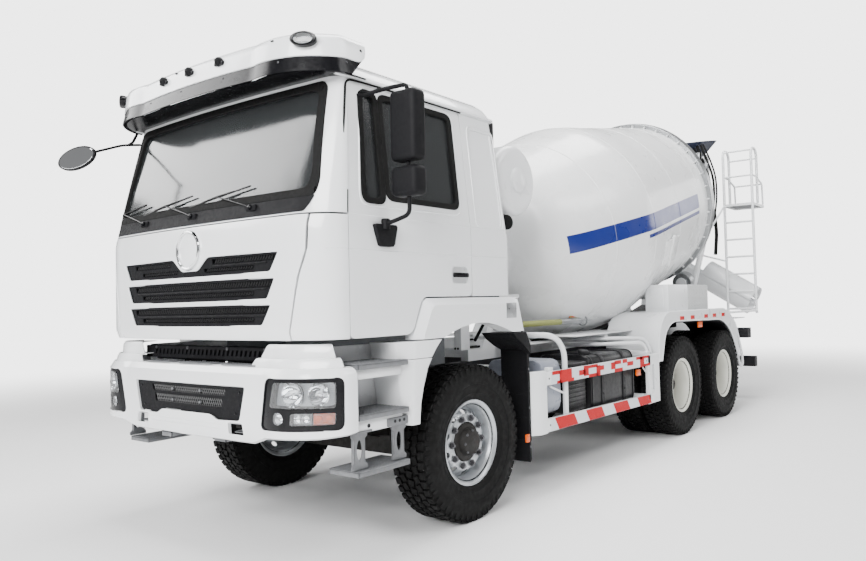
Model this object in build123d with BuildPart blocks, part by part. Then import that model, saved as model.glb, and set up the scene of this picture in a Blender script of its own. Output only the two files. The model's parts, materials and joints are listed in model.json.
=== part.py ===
from build123d import *
from math import cos, pi, radians, sin
import os

os.makedirs("parts", exist_ok=True)

# Three-axle concrete mixer truck, standing on its wheels.
# Millimetres. +X is forwards, +Y is the truck's left, +Z is up, the floor is z = 0.

# ---- driving dimensions: running gear ----
wheelbase = 3775  # front axle to the first rear axle
bogie_spacing = 1400  # first rear axle to the second
front_reach = 1720  # front axle to the tip of the oval mirror
rear_overhang = 2520  # last axle to the rear lip of the loading hopper
tyre_radius = 545
tyre_width = 310
rim_seat = 255
rim_flange = 298
rim_width = 216
front_track = 2036
twin_centre = 921  # truck's middle to the middle of a pair
twin_spacing = 340
kingpin_half = 830
hub_radius = 120
spindle_radius = 45
running_gap = 0.05  # radial clearance of a shaft in its bearing

# ---- driving dimensions: frame ----
rail_top = 1020
rail_height = 280
rail_half = 425  # outer face of a rail from the middle
rail_flange = 80
rail_web = 10
subframe_height = 100
frame_tail = 1225  # last axle to the frame's rear end
body_half = 1245  # half the overall width at fenders and bumper

# ---- driving dimensions: cab ----
cab_half = 1195
cab_nose = 1440  # front axle to the middle of the front panel
cab_back = 456  # front axle back to the rear wall
door_front = 1180
door_rear = 30
panel_bottom = 1335
belt = 2055  # top edge of the front lid
door_top = 2885
arch_top = 1570  # upper line of the arch flares
cab_wall = 65
lid_wall = 30
floor_low = 1400
floor_thick = 50
seam = 6  # gap round doors and panels
clear = 8  # gap between pieces that move past each other

# ---- driving dimensions: drum ----
drum_tilt = 13.455
drum_ahead = 3575  # bogie middle forward to the point where the drum's axis starts
drum_low = 1763  # height of the drum's axis there
drum_wall = 8
ring_radius = 1120
ring_width = 110
roller_radius = 130
roller_angle = 28
rolling_gap = 0.3

# ---- worked out ----
overall_length = front_reach + wheelbase + bogie_spacing + rear_overhang
fa = overall_length / 2 - front_reach  # front axle
ra = fa - wheelbase  # first rear axle
rb = ra - bogie_spacing  # second rear axle
bogie = (ra + rb) / 2
tail = rb - frame_tail
axle_z = tyre_radius
rail_low = rail_top - rail_height
sub_top = rail_top + subframe_height
rail_inner = rail_half - rail_flange


def across(x):
    """Plane square to the truck's length at x, growing forwards."""
    return Plane.YZ.offset(x)


def block(low, high, mode=Mode.ADD):
    """Box between two corners."""
    with Locations(Vector(*[(a + b) / 2 for a, b in zip(low, high)])):
        Box(*[b - a for a, b in zip(low, high)], mode=mode)


def bar(start, end, radius, mode=Mode.ADD):
    """Round bar between two points."""
    run = Vector(*end) - Vector(*start)
    with BuildSketch(Plane(origin=start, z_dir=run)) as disc:
        Circle(radius)
    extrude(disc.sketch, amount=run.length, mode=mode)


def ordered(points):
    """The same closed outline, always counter-clockwise, so that it grows the way its plane faces."""
    twice = sum(a[0] * b[1] - b[0] * a[1] for a, b in zip(points, points[1:] + points[:1]))
    return points if twice > 0 else points[::-1]


def slab(points, y_low, y_high, mode=Mode.ADD):
    """Side outline of (x, z) points, spread between two y."""
    with BuildSketch(Plane.XZ.offset(-y_high)) as face:
        Polygon(*ordered(points), align=None)
    extrude(face.sketch, amount=y_high - y_low, mode=mode)


def front_slab(points, x_low, x_high, mode=Mode.ADD):
    """Front outline of (y, z) points, spread between two x."""
    with BuildSketch(across(x_low)) as face:
        Polygon(*ordered(points), align=None)
    extrude(face.sketch, amount=x_high - x_low, mode=mode)


def plan_slab(points, z_low, z_high, mode=Mode.ADD):
    """Plan outline of (x, y) points, spread between two z."""
    with BuildSketch(Plane.XY.offset(z_low)) as face:
        Polygon(*ordered(points), align=None)
    extrude(face.sketch, amount=z_high - z_low, mode=mode)


def span(out, near, far):
    """Low and high y of a stretch on one side of the truck."""
    return sorted((out * near, out * far))


def write(piece, name):
    """Label a finished piece and write its file."""
    piece.label = name
    export_step(piece, "parts/" + name + ".step")


# ================= wheels =================
shoulder = tyre_radius - 30
tread_half = tyre_width / 2 - 18


def tyre_at(x, y):
    """One tyre, turned about its axle."""
    with BuildPart() as tyre:
        with BuildSketch(Plane(origin=(x, y, axle_z), x_dir=(0, 1, 0), z_dir=(1, 0, 0))):
            with BuildLine():
                half = rim_width / 2
                Polyline((half, rim_flange), (half, rim_seat), (-half, rim_seat), (-half, rim_flange))
                ThreePointArc(
                    (-half, rim_flange),
                    (-tyre_width / 2, (rim_flange + shoulder) / 2),
                    (-tread_half, shoulder),
                )
                Polyline(
                    (-tread_half, shoulder),
                    (-tread_half + 25, tyre_radius),
                    (tread_half - 25, tyre_radius),
                    (tread_half, shoulder),
                )
                ThreePointArc(
                    (tread_half, shoulder),
                    (tyre_width / 2, (rim_flange + shoulder) / 2),
                    (half, rim_flange),
                )
            make_face()
        revolve(axis=Axis((x, y, axle_z), (0, 1, 0)))
    return tyre.part


rim_wall = 12
flange_thick = 14
disc_radius = rim_seat - rim_wall
disc_thick = 14
plate_radius = 170
hand_holes = 10
hand_hole = 22
hand_circle = 208
cap_radius = 82


def rim_profile(y, out, face, join):
    """Half sections of one wheel whose middle is at y: its dished disc and its barrel."""
    half = rim_width / 2
    edge = half + flange_thick
    plate = y + out * face
    foot = y + out * join
    return [
        (plate - disc_thick / 2, 0),
        (plate - disc_thick / 2, plate_radius),
        (foot - disc_thick, disc_radius + 2),
        (foot + disc_thick, disc_radius + 2),
        (plate + disc_thick / 2, plate_radius),
        (plate + disc_thick / 2, 0),
    ], [
        (y - edge, disc_radius + 30),
        (y - edge, rim_flange),
        (y - half, rim_flange),
        (y - half, rim_seat),
        (y + half, rim_seat),
        (y + half, rim_flange),
        (y + edge, rim_flange),
        (y + edge, disc_radius + 30),
        (y + half - 20, disc_radius),
        (y - half + 20, disc_radius),
    ]


def rim_at(x, middles, out, face, join, hub_in, hub_out, bore_depth):
    """Rims of one wheel body with their disc and hub. Hub runs from hub_in to hub_out."""
    turn = Axis((x, 0, axle_z), (0, 1, 0))
    section = Plane(origin=(x, 0, axle_z), x_dir=(0, 1, 0), z_dir=(1, 0, 0))
    with BuildPart() as rim:
        for y, way in zip(middles, (out, -out)):
            disc, barrel = rim_profile(y, way, face, join)
            with BuildSketch(section):
                Polygon(*disc, align=None)
                Polygon(*barrel, align=None)
            revolve(axis=turn)
        bar((x, hub_in, axle_z), (x, hub_out - out * 60, axle_z), hub_radius)
        bar((x, hub_out - out * 60, axle_z), (x, hub_out, axle_z), cap_radius)
        disc_place = middles[0] + out * face
        for turn_step in range(hand_holes):
            angle = 2 * pi * turn_step / hand_holes
            px = x + hand_circle * cos(angle)
            pz = axle_z + hand_circle * sin(angle)
            low = disc_place - twin_spacing * 0.4
            high = disc_place + twin_spacing * 0.4
            bar((px, low, pz), (px, high, pz), hand_hole, mode=Mode.SUBTRACT)
        bar(
            (x, hub_in - out, axle_z),
            (x, hub_in + out * bore_depth, axle_z),
            spindle_radius + running_gap,
            mode=Mode.SUBTRACT,
        )
    return rim.part


front_middle = front_track / 2
sides = [("left", 1), ("right", -1)]
front_hub_in = 920
front_hub_out = 1150
front_bore = 150
rear_hub_in = 640
rear_hub_out = 1130
rear_bore = 300

for side, out in sides:
    write(tyre_at(fa, out * front_middle), "front_" + side + "_tyre")
    hub = (out * front_hub_in, out * front_hub_out, front_bore)
    rim = rim_at(fa, [out * front_middle], out, 60, 0, *hub)
    write(rim, "front_" + side + "_rim")
    for place, x in [("middle", ra), ("rear", rb)]:
        outer = out * (twin_centre + twin_spacing / 2)
        inner = out * (twin_centre - twin_spacing / 2)
        twin = Compound([tyre_at(x, outer), tyre_at(x, inner)])
        write(twin, place + "_" + side + "_tyres")
        hub = (out * rear_hub_in, out * rear_hub_out, rear_bore)
        rim = rim_at(x, [outer, inner], out, disc_thick / 2 - twin_spacing / 2, -60, *hub)
        write(rim, place + "_" + side + "_rims")

# ================= front axle, knuckles and steering =================
beam_drop = 90
boss_half = 70
pin_radius = 28
spring_half = 380
spring_width = 90
spring_reach = 780
arm_back = 260  # steering arms reach this far behind the axle
rod_radius = 22
ball_radius = 16
rod_eye = 26

with BuildPart() as front_axle:
    # forged beam: raised ends carry the kingpin bosses, the middle drops under the engine
    beam = [
        (-kingpin_half + 55, axle_z - 40),
        (-kingpin_half + 160, axle_z - beam_drop - 60),
        (kingpin_half - 160, axle_z - beam_drop - 60),
        (kingpin_half - 55, axle_z - 40),
        (kingpin_half - 55, axle_z + 45),
        (kingpin_half - 190, axle_z - beam_drop + 60),
        (-kingpin_half + 190, axle_z - beam_drop + 60),
        (-kingpin_half + 55, axle_z + 45),
    ]
    front_slab(beam, fa - 45, fa + 45)
    for side, out in sides:
        y = out * kingpin_half
        bar((fa, y, axle_z - boss_half + 15), (fa, y, axle_z + boss_half - 15), 48)
        bore = pin_radius + running_gap
        low = (fa, out * kingpin_half, axle_z - boss_half)
        bar(low, (fa, out * kingpin_half, axle_z + boss_half), bore, mode=Mode.SUBTRACT)
        # leaf spring pack with its clamp and the eyes' hangers
        y = out * spring_half
        low = axle_z - beam_drop + 60
        block((fa - 90, y - 55, low - 2), (fa + 90, y + 55, low + 150))
        leaves = [
            (fa - spring_reach, rail_low - 70),
            (fa - 90, low + 30),
            (fa + 90, low + 30),
            (fa + spring_reach, rail_low - 70),
            (fa + spring_reach, rail_low - 50),
            (fa + 90, low + 110),
            (fa - 90, low + 110),
            (fa - spring_reach, rail_low - 50),
        ]
        slab(leaves, y - spring_width / 2, y + spring_width / 2)
        for end in (-spring_reach, spring_reach):
            block((fa + end - 40, y - 40, rail_low - 90), (fa + end + 40, y + 40, rail_low))
write(front_axle.part, "front_axle")


# fork round the beam's boss, kingpin, brake plate, wheel spindle and steering arm
with BuildPart() as left_knuckle:
    y = kingpin_half
    top = axle_z + boss_half
    low = axle_z - boss_half
    for z_low, z_high in ((top, top + 30), (low - 30, low)):
        bar((fa, y, z_low), (fa, y, z_high), 46)
        block((fa - 45, y, z_low), (fa + 45, y + 75, z_high))
    bar((fa, y, low - 10), (fa, y, top + 10), pin_radius)
    bar((fa, y + 58, axle_z), (fa, y + 82, axle_z), 105)
    bar((fa, y + 60, axle_z), (fa, front_hub_in + front_bore - 10, axle_z), spindle_radius)
    arm = [
        (fa, y + 30),
        (fa - arm_back, y + 24),
        (fa - arm_back - 26, y),
        (fa - arm_back, y - 24),
        (fa, y - 30),
    ]
    plan_slab(arm, low - 30, low - 5)
    ball = (fa - arm_back, y)
    bar((*ball, low - 45), (*ball, low - 20), ball_radius)
write(mirror(left_knuckle.part, about=Plane.XZ), "right_knuckle")
write(left_knuckle.part, "left_knuckle")

with BuildPart() as tie_rod:
    rod_z = axle_z - boss_half - 62
    bar((fa - arm_back, -kingpin_half, rod_z), (fa - arm_back, kingpin_half, rod_z), rod_radius)
    for side, out in sides:
        end = (fa - arm_back, out * kingpin_half)
        bar((*end, rod_z - 20), (*end, rod_z + 26), rod_eye)
        bar((*end, rod_z + 10), (*end, rod_z + 27), ball_radius + running_gap, mode=Mode.SUBTRACT)
write(tie_rod.part, "tie_rod")

# ================= rear axles =================
axle_tube = 75
diff_radius = 230
with BuildPart() as rear_axles:
    for x in (ra, rb):
        inner = rear_hub_in + rear_bore - 10
        bar((x, -inner, axle_z), (x, inner, axle_z), spindle_radius)
        bar((x, -rear_hub_in + 8, axle_z), (x, rear_hub_in - 8, axle_z), axle_tube)
        bar((x - 150, 0, axle_z), (x + 150, 0, axle_z), diff_radius)
        bar((x + 140, 0, axle_z), (x + 330, 0, axle_z), 90)
    # bogie springs: inverted packs pivoting on the trunnion between the axles
    pack_y = rail_half + 15
    for side, out in sides:
        y = out * pack_y
        pack = [
            (rb - 120, axle_z + 90),
            (rb - 120, axle_z + 120),
            (bogie - 100, axle_z + 190),
            (bogie + 100, axle_z + 190),
            (ra + 120, axle_z + 120),
            (ra + 120, axle_z + 90),
            (bogie + 100, axle_z + 90),
            (bogie - 100, axle_z + 90),
        ]
        slab(pack, y - 50, y + 50)
        for x in (ra, rb):
            block((x - 80, y - 50, axle_z), (x + 80, y + 50, axle_z + 92))
        block((bogie - 90, y - 50, axle_z - 60), (bogie + 90, y + 50, axle_z + 92))
    bar((bogie, -pack_y, axle_z), (bogie, pack_y, axle_z), 60)
write(rear_axles.part, "rear_axles")

# ================= chassis frame =================
rail_front = fa + 1250
cross_members = [fa + 1150, fa - 900, fa - 2300, bogie, rb - 700]
tail_plate = 14
tow_hole_radius = 10.5
tow_pitch_y = 160
tow_pitch_z = 100
with BuildPart() as chassis_frame:
    for side, out in sides:
        channel = [
            (out * rail_half, rail_low),
            (out * rail_half, rail_top),
            (out * rail_inner, rail_top),
            (out * rail_inner, rail_top - rail_web),
            (out * (rail_half - rail_web), rail_top - rail_web),
            (out * (rail_half - rail_web), rail_low + rail_web),
            (out * rail_inner, rail_low + rail_web),
            (out * rail_inner, rail_low),
        ]
        front_slab(channel, tail, rail_front)
    inside = rail_half - rail_web
    for x in cross_members:
        block((x - 50, -inside, rail_low + 30), (x + 50, inside, rail_low + 45))
        block((x - 6, -inside, rail_low + 30), (x + 6, inside, rail_top - 30))
    block((tail, -inside, rail_low + 12), (tail + tail_plate, inside, rail_top - 12))
    with BuildSketch(across(tail)) as tow_holes:
        with Locations((0, rail_low + rail_height / 2)):
            with GridLocations(tow_pitch_y, tow_pitch_z, 2, 2):
                Circle(tow_hole_radius)
    extrude(tow_holes.sketch, amount=tail_plate, mode=Mode.SUBTRACT)
write(chassis_frame.part, "chassis_frame")

# ================= engine, one plain block =================
with BuildPart() as engine:
    block((fa - 700, -330, rail_low + 60), (fa + 950, 330, 1560))
write(engine.part, "engine")

# ================= drum =================
slope = radians(drum_tilt)
drum_x = bogie + drum_ahead
drum_line = Vector(-cos(slope), 0, sin(slope))
drum_up = Vector(sin(slope), 0, cos(slope))
drum_root = Vector(drum_x, 0, drum_low)
drum_plane = Plane(origin=drum_root, x_dir=drum_line, z_dir=(0, -1, 0))
drum_axis = Axis(drum_root, drum_line)
# outer form of the drum: name, distance along the axis, radius
drum_stations = [
    ("flange front", 800, 270),
    ("flange back", 860, 270),
    ("head centre", 860, 330),
    ("head middle", 930, 600),
    ("head edge", 1084, 800),
    ("front cone", 1700, 1050),
    ("widest", 2403, 1183),
    ("rear of the barrel", 4135, 1085),
    ("rear bend", 4450, 1068),
    ("ring band", 4700, 1035),
    ("mouth", 5750, 520),
]
ring_at = 4500


def station(name):
    """Distance along the drum's axis and radius at a named station."""
    return next((along, radius) for label, along, radius in drum_stations if label == name)


def inside(name, back=0):
    """Point on the drum's inner face level with a named station."""
    along, radius = station(name)
    return along + back, radius - drum_wall


# dished head and front cone, up to the weld at the widest place
with BuildPart() as drum_head:
    with BuildSketch(drum_plane):
        with BuildLine():
            Polyline((station("flange front")[0], 0), station("flange front"), station("flange back"))
            Line(station("flange back"), station("head centre"))
            ThreePointArc(station("head centre"), station("head middle"), station("head edge"))
            ThreePointArc(station("head edge"), station("front cone"), station("widest"))
            Line(station("widest"), inside("widest"))
            ThreePointArc(inside("widest"), inside("front cone"), inside("head edge", drum_wall))
            along, radius = station("head centre")
            along += drum_wall
            ThreePointArc(inside("head edge", drum_wall), inside("head middle", drum_wall), (along, radius))
            Polyline((along, radius), (along, 0), (station("flange front")[0], 0))
        make_face()
    revolve(axis=drum_axis)
write(drum_head.part, "drum_head")

# barrel and rear cone
with BuildPart() as drum_shell:
    with BuildSketch(drum_plane):
        with BuildLine():
            Line(station("widest"), station("rear of the barrel"))
            ThreePointArc(station("rear of the barrel"), station("rear bend"), station("ring band"))
            Polyline(station("ring band"), station("mouth"), inside("mouth"), inside("ring band"))
            ThreePointArc(inside("ring band"), inside("rear bend"), inside("rear of the barrel"))
            Polyline(inside("rear of the barrel"), inside("widest"), station("widest"))
        make_face()
    revolve(axis=drum_axis)
write(drum_shell.part, "drum_shell")

with BuildPart() as drum_ring:
    with BuildSketch(drum_plane):
        low = ring_at - ring_width / 2
        high = ring_at + ring_width / 2
        Polygon((low, 1090), (low, ring_radius), (high, ring_radius), (high, 1090), align=None)
    revolve(axis=drum_axis)
write(drum_ring.part, "drum_ring")

# rollers under the ring, parallel to the drum
ring_centre = drum_root + drum_line * ring_at
roller_reach = ring_radius + roller_radius + rolling_gap
roller_length = 150
roller_pin = 35
roller_spots = {}
for side, out in sides:
    swing = radians(roller_angle)
    sideways = Vector(0, out * roller_reach * sin(swing), 0)
    spot = ring_centre - drum_up * (roller_reach * cos(swing)) + sideways
    roller_spots[side] = spot
    with BuildPart() as roller:
        near = spot - drum_line * (roller_length / 2)
        far = spot + drum_line * (roller_length / 2)
        bar(near, far, roller_radius)
        bar(near - drum_line, far + drum_line, roller_pin + running_gap, mode=Mode.SUBTRACT)
    write(roller.part, side + "_roller")

# ================= drum frame: subframe, gearbox stand, roller stand =================
stand_x = drum_x - 620
bracket_gap = 8
with BuildPart() as drum_frame:
    for side, out in sides:
        y = out * (rail_half - 40)
        block((tail + 40, y - 40, rail_top), (fa - 900, y + 40, sub_top))
        # gearbox stand: two raked legs
        legs = [
            (stand_x - 420, sub_top),
            (stand_x + 420, sub_top),
            (stand_x + 190, drum_low - 180),
            (stand_x - 190, drum_low - 180),
            (stand_x - 130, drum_low - 240),
            (stand_x + 130, drum_low - 240),
            (stand_x + 300, sub_top + 60),
            (stand_x - 300, sub_top + 60),
        ]
        slab(legs, y - 40, y + 40)
        # roller stand
        spot = roller_spots[side]
        foot = [
            (spot.X - 520, sub_top),
            (spot.X + 420, sub_top),
            (spot.X + 180, spot.Z - 190),
            (spot.X - 240, spot.Z - 190 - 420 * sin(slope) / cos(slope)),
        ]
        slab(foot, y - 40, y + 40)
    block((stand_x - 190, -rail_half, drum_low - 200), (stand_x + 190, rail_half, drum_low - 170))
    # sloping bed that carries both roller brackets
    spot = roller_spots["left"]
    bed_plane = Plane(origin=(spot.X, 0, spot.Z), x_dir=drum_line, z_dir=drum_up)
    with BuildSketch(bed_plane.offset(-roller_radius - 55)) as bed:
        Rectangle(420, 2 * spot.Y + 240)
    extrude(bed.sketch, amount=30)
    for side, out in sides:
        spot = roller_spots[side]
        for way in (-1, 1):
            cheek_plane = Plane(
                origin=spot + drum_line * (way * (roller_length / 2 + bracket_gap)),
                x_dir=(0, 1, 0),
                z_dir=drum_line * way,
            )
            with BuildSketch(cheek_plane) as cheek:
                Circle(70)
                with Locations((0, -(roller_radius + 30) / 2 * (-1 if way > 0 else 1))):
                    Rectangle(140, roller_radius + 30)
            extrude(cheek.sketch, amount=22)
        reach = roller_length / 2 + bracket_gap + 22
        bar(spot - drum_line * reach, spot + drum_line * reach, roller_pin)
    # cross ties
    for x in (tail + 60, stand_x - 380, stand_x + 340):
        block((x, -(rail_half - 79), rail_top + 10), (x + 40, rail_half - 79, sub_top - 10))
write(drum_frame.part, "drum_frame")

with BuildPart() as drum_gearbox:
    reach = station("flange front")[0]
    start = drum_root + drum_line * (reach - 420)
    bar(start, drum_root + drum_line * (reach - clear), 215)
    bar(start - drum_line * 150, start, 130)
    block((stand_x - 150, -220, drum_low - 170), (stand_x + 150, 220, drum_low - 20))
write(drum_gearbox.part, "drum_gearbox")

# ================= water tank behind the cab =================
tank_x = fa - cab_back - 410
tank_z = 2520
tank_radius = 290
tank_half = 1000
with BuildPart() as water_tank:
    bar((tank_x, -tank_half, tank_z), (tank_x, tank_half, tank_z), tank_radius)
    fillet(water_tank.edges().filter_by(GeomType.CIRCLE), 60)
    for side, out in sides:
        y = out * (rail_half - 40)
        block((tank_x - 60, y - 40, sub_top), (tank_x + 60, y + 40, tank_z - tank_radius + 30))
write(water_tank.part, "water_tank")

# ================= hopper and spout =================
swivel_x = rb - 2045
hopper_z = 3960
hopper_radius = 550
hopper_lean = 9
hopper_x = rb - rear_overhang + hopper_radius * cos(radians(hopper_lean))
hopper_depth = 220
hopper_wall = 10
throat_radius = 330
with BuildPart() as loading_hopper:
    lean = radians(hopper_lean)
    rim_plane = Plane(
        origin=(hopper_x, 0, hopper_z), x_dir=(cos(lean), 0, -sin(lean)), z_dir=(sin(lean), 0, cos(lean))
    )
    with BuildSketch(rim_plane):
        Circle(hopper_radius)
    with BuildSketch(rim_plane.offset(-hopper_depth)):
        Circle(throat_radius)
    loft()
    with BuildSketch(rim_plane.offset(1)) as upper:
        Circle(hopper_radius - hopper_wall)
    with BuildSketch(rim_plane.offset(-hopper_depth - 1)) as lower:
        Circle(throat_radius - hopper_wall)
    loft(sections=[upper.sketch, lower.sketch], mode=Mode.SUBTRACT)
write(loading_hopper.part, "loading_hopper")

# ================= cab =================
nose = fa + cab_nose
back = fa - cab_back
roof_high = 3085
screen_foot = 2110
lid_low_half = cab_half - 270
lid_high_half = cab_half - 130
lid_bend = belt - 205  # the lid's edges stand upright above this
lid_seam = 9
wall_half = cab_half - 95  # half width of the fire wall
# side form of the cab: x from the front axle, z
cab_side = [
    (-cab_back, panel_bottom),
    (cab_nose - 25, panel_bottom),
    (cab_nose, panel_bottom + 40),
    (cab_nose, belt - 60),
    (cab_nose - 20, belt + 5),
    (cab_nose - 45, screen_foot),
    (1190, 2890),
    (1140, 2965),
    (1000, 3035),
    (700, roof_high),
    (-250, 3065),
    (-350, 2990),
    (-375, 2880),
    (-cab_back, 2000),
]
# front form: half width, z
cab_front_half = [
    (cab_half, panel_bottom),
    (cab_half, belt),
    (cab_half - 85, door_top),
    (cab_half - 150, 2975),
    (cab_half - 320, 3060),
]


def cab_form(inset):
    """The cab's outer form, or the same form pulled in by a wall."""
    with BuildPart() as form:
        with BuildSketch(Plane.XZ):
            Polygon(*ordered([(fa + x, z) for x, z in cab_side]), align=None)
            offset(amount=-inset, kind=Kind.INTERSECTION)
        extrude(amount=cab_half + 50, both=True)
        with BuildSketch(across(fa)):
            whole = cab_front_half + [(cab_half - 600, 3100), (600 - cab_half, 3100)]
            whole = whole + [(-y, z) for y, z in reversed(cab_front_half)]
            Polygon(*ordered(whole), align=None)
            offset(amount=-inset, kind=Kind.INTERSECTION)
        extrude(amount=2500, both=True, mode=Mode.INTERSECT)
        with BuildSketch(Plane.XY.offset(1000)):
            with BuildLine():
                side = [(fa + door_front, cab_half), (back - 60, cab_half)]
                Polyline(*side, *[(x, -y) for x, y in reversed(side)])
                corner = (fa + 1335, cab_half - 95)
                bend = (nose - 35, cab_half - 295)
                ThreePointArc((fa + door_front, -cab_half), (corner[0], -corner[1]), (bend[0], -bend[1]))
                ThreePointArc((bend[0], -bend[1]), (nose, 0), bend)
                ThreePointArc(bend, corner, (fa + door_front, cab_half))
            make_face()
            offset(amount=-inset, kind=Kind.INTERSECTION)
        extrude(amount=2500, mode=Mode.INTERSECT)
    return form.part


def door_outline(gap):
    """Side outline of a door, grown by a gap."""
    return [
        (fa + door_front + gap, panel_bottom - gap),
        (fa + door_front + gap, belt + 20),
        (fa + 1088 + gap, door_top + gap),
        (fa + door_rear - gap, door_top + gap),
        (fa + door_rear - gap, arch_top - gap),
        (fa + 554 - gap, arch_top - gap),
        (fa + 655 - gap, panel_bottom - gap),
    ]


def lid_outline(gap):
    """Front outline of the lid, grown by a gap."""
    return [
        (-lid_low_half - gap, panel_bottom - gap - 1),
        (lid_low_half + gap, panel_bottom - gap - 1),
        (lid_high_half + gap, lid_bend),
        (lid_high_half + gap, belt + gap),
        (-lid_high_half - gap, belt + gap),
        (-lid_high_half - gap, lid_bend),
    ]


door_inside = cab_half - cab_wall - seam
outer_form = cab_form(0)
inner_form = cab_form(cab_wall)
lid_form = cab_form(lid_wall)
front_zone = fa + door_front + seam

with BuildPart() as room:
    add(inner_form)
    block((back - 100, -1300, 0), (nose, 1300, floor_low + floor_thick), mode=Mode.SUBTRACT)

with BuildPart() as cab_shell:
    add(outer_form)
    add(room.part, mode=Mode.SUBTRACT)
    block((back - 100, -1300, 0), (nose + 100, 0, 4000), mode=Mode.SUBTRACT)
    block((back - 100, -1300, 0), (nose + 100, 1300, floor_low), mode=Mode.SUBTRACT)
    # the side below the arch line belongs to the flares
    low = floor_low - 20
    side_low = [(back - 60, low), (fa + 700, low), (fa + 554, arch_top), (back - 60, arch_top)]
    slab(side_low, door_inside, 1300, mode=Mode.SUBTRACT)
    slab(door_outline(seam), 900, 1300, mode=Mode.SUBTRACT)
    block((back + 10, 0, floor_low), (fa + 1200, door_inside, floor_low + floor_thick))
    # front skin is the lid and the corner panels; a fire wall stands behind them
    block((fa + 1215, 0, 0), (nose + 100, 1300, belt + seam), mode=Mode.SUBTRACT)
    block((front_zone - 2, wall_half, 0), (nose + 100, 1300, belt + seam), mode=Mode.SUBTRACT)
    block((fa + 1185, 0, floor_low), (fa + 1215, wall_half, belt + seam + 40))
    # engine tunnel
    low = floor_low - 10
    block((back - 10, -400, low), (fa + 1060, 400, floor_low + floor_thick + 10), mode=Mode.SUBTRACT)
    block((back - 10, -400, low), (back + 80, 400, 1620), mode=Mode.SUBTRACT)
    block((back, 400, floor_low), (fa + 1060, 430, 1640))
    block((back, 0, 1610), (fa + 1090, 430, 1640))
    block((fa + 1060, 0, floor_low), (fa + 1090, 430, 1640))
    # windscreen opening
    half_screen = [
        (cab_half - 185, 2205), (cab_half - 150, 2260), (cab_half - 210, 2800), (cab_half - 265, 2855)
    ]
    screen = half_screen + [(-y, z) for y, z in reversed(half_screen)]
    front_slab(screen, fa + 1100, nose + 100, mode=Mode.SUBTRACT)
    mirror(about=Plane.XZ)
write(cab_shell.part, "cab_shell")

with BuildPart() as skin:
    add(outer_form)
    add(lid_form, mode=Mode.SUBTRACT)
    block((back - 100, -1300, 0), (front_zone, 1300, 4000), mode=Mode.SUBTRACT)
    block((back - 100, -1300, belt), (nose + 100, 1300, 4000), mode=Mode.SUBTRACT)
    block((back - 100, -1300, 0), (nose + 100, 0, 4000), mode=Mode.SUBTRACT)
    block((front_zone - 10, 0, 0), (fa + 1370, wall_half - 20, panel_bottom + lid_wall + 5), mode=Mode.SUBTRACT)
    mirror(about=Plane.XZ)
front_skin = skin.part

grille_rows = [
    # half width at the top, half width at the bottom, top, bottom
    (cab_half - 325, cab_half - 395, 1850, 1740),
    (cab_half - 360, cab_half - 430, 1700, 1580),
    (cab_half - 395, cab_half - 475, 1545, 1425),
]
with BuildPart() as front_lid:
    add(front_skin)
    front_slab(lid_outline(0), fa + 900, nose + 100, mode=Mode.INTERSECT)
    for top_half, low_half, top, low in grille_rows:
        row = [(-low_half, low), (low_half, low), (top_half, top), (-top_half, top)]
        front_slab(row, fa + 1000, nose + 100, mode=Mode.SUBTRACT)
write(front_lid.part, "front_lid")

with BuildPart() as corner_panels:
    add(front_skin)
    front_slab(lid_outline(lid_seam), fa + 900, nose + 100, mode=Mode.SUBTRACT)
write(corner_panels.part, "corner_panels")

with BuildPart() as grille_inserts:
    for top_half, low_half, top, low in grille_rows:
        block((nose - 80, -top_half + 20, low - 12), (nose - 68, top_half - 20, top + 12))
write(grille_inserts.part, "grille_inserts")

door_glass_gap = 3
quarter_glass = [(fa + 1058, 2150), (fa + 860, 2150), (fa + 860, 2828), (fa + 1000, 2828)]
main_glass = [(fa + 830, 2180), (fa + 150, 2180), (fa + 150, 2828), (fa + 830, 2828)]


# door with its window openings and the arch cut-out
with BuildPart() as left_door:
    slab(door_outline(0), 900, 1300)
    add(outer_form, mode=Mode.INTERSECT)
    add(inner_form, mode=Mode.SUBTRACT)
    block((fa, 0, 0), (fa + 1300, cab_half - cab_wall, floor_low + floor_thick), mode=Mode.SUBTRACT)
    for opening in (quarter_glass, main_glass):
        slab(opening, 900, 1300, mode=Mode.SUBTRACT)

# quarter and main pane, standing in the middle of the door's thickness
with BuildPart() as left_door_glass:
    for opening in (quarter_glass, main_glass):
        slab(opening, 900, 1300)
    add(cab_form(28), mode=Mode.INTERSECT)
    add(cab_form(34), mode=Mode.SUBTRACT)


mirror_x = fa + 880


# main mirror over a wide-angle one, on two arms from the door
with BuildPart() as left_mirror:
    for z_low, z_high in ((2375, 2800), (2165, 2345)):
        block((mirror_x - 60, 1290, z_low), (mirror_x + 60, 1500, z_high))
    bar((mirror_x, 1395, 2340), (mirror_x, 1395, 2380), 14)
    bar((mirror_x, 1395, 2790), (mirror_x, 1395, 2840), 14)
    bar((mirror_x, 1395, 2830), (mirror_x + 30, 1135, 2830), 14)
    bar((mirror_x, 1395, 2170), (mirror_x, 1395, 2040), 14)
    bar((mirror_x, 1395, 2050), (mirror_x + 30, 1215, 2000), 14)
    block((mirror_x - 40, cab_half, 1900), (mirror_x + 100, cab_half + 31, 2030))

for piece, name in ((left_door, "door"), (left_door_glass, "door_glass"), (left_mirror, "mirror")):
    write(mirror(piece.part, about=Plane.XZ), "right_" + name)
    write(piece.part, "left_" + name)

with BuildPart() as cab_glass:
    front_slab(screen, fa + 1100, nose + 100)
    add(cab_form(22), mode=Mode.INTERSECT)
    add(cab_form(29), mode=Mode.SUBTRACT)
write(cab_glass.part, "cab_glass")

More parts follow.
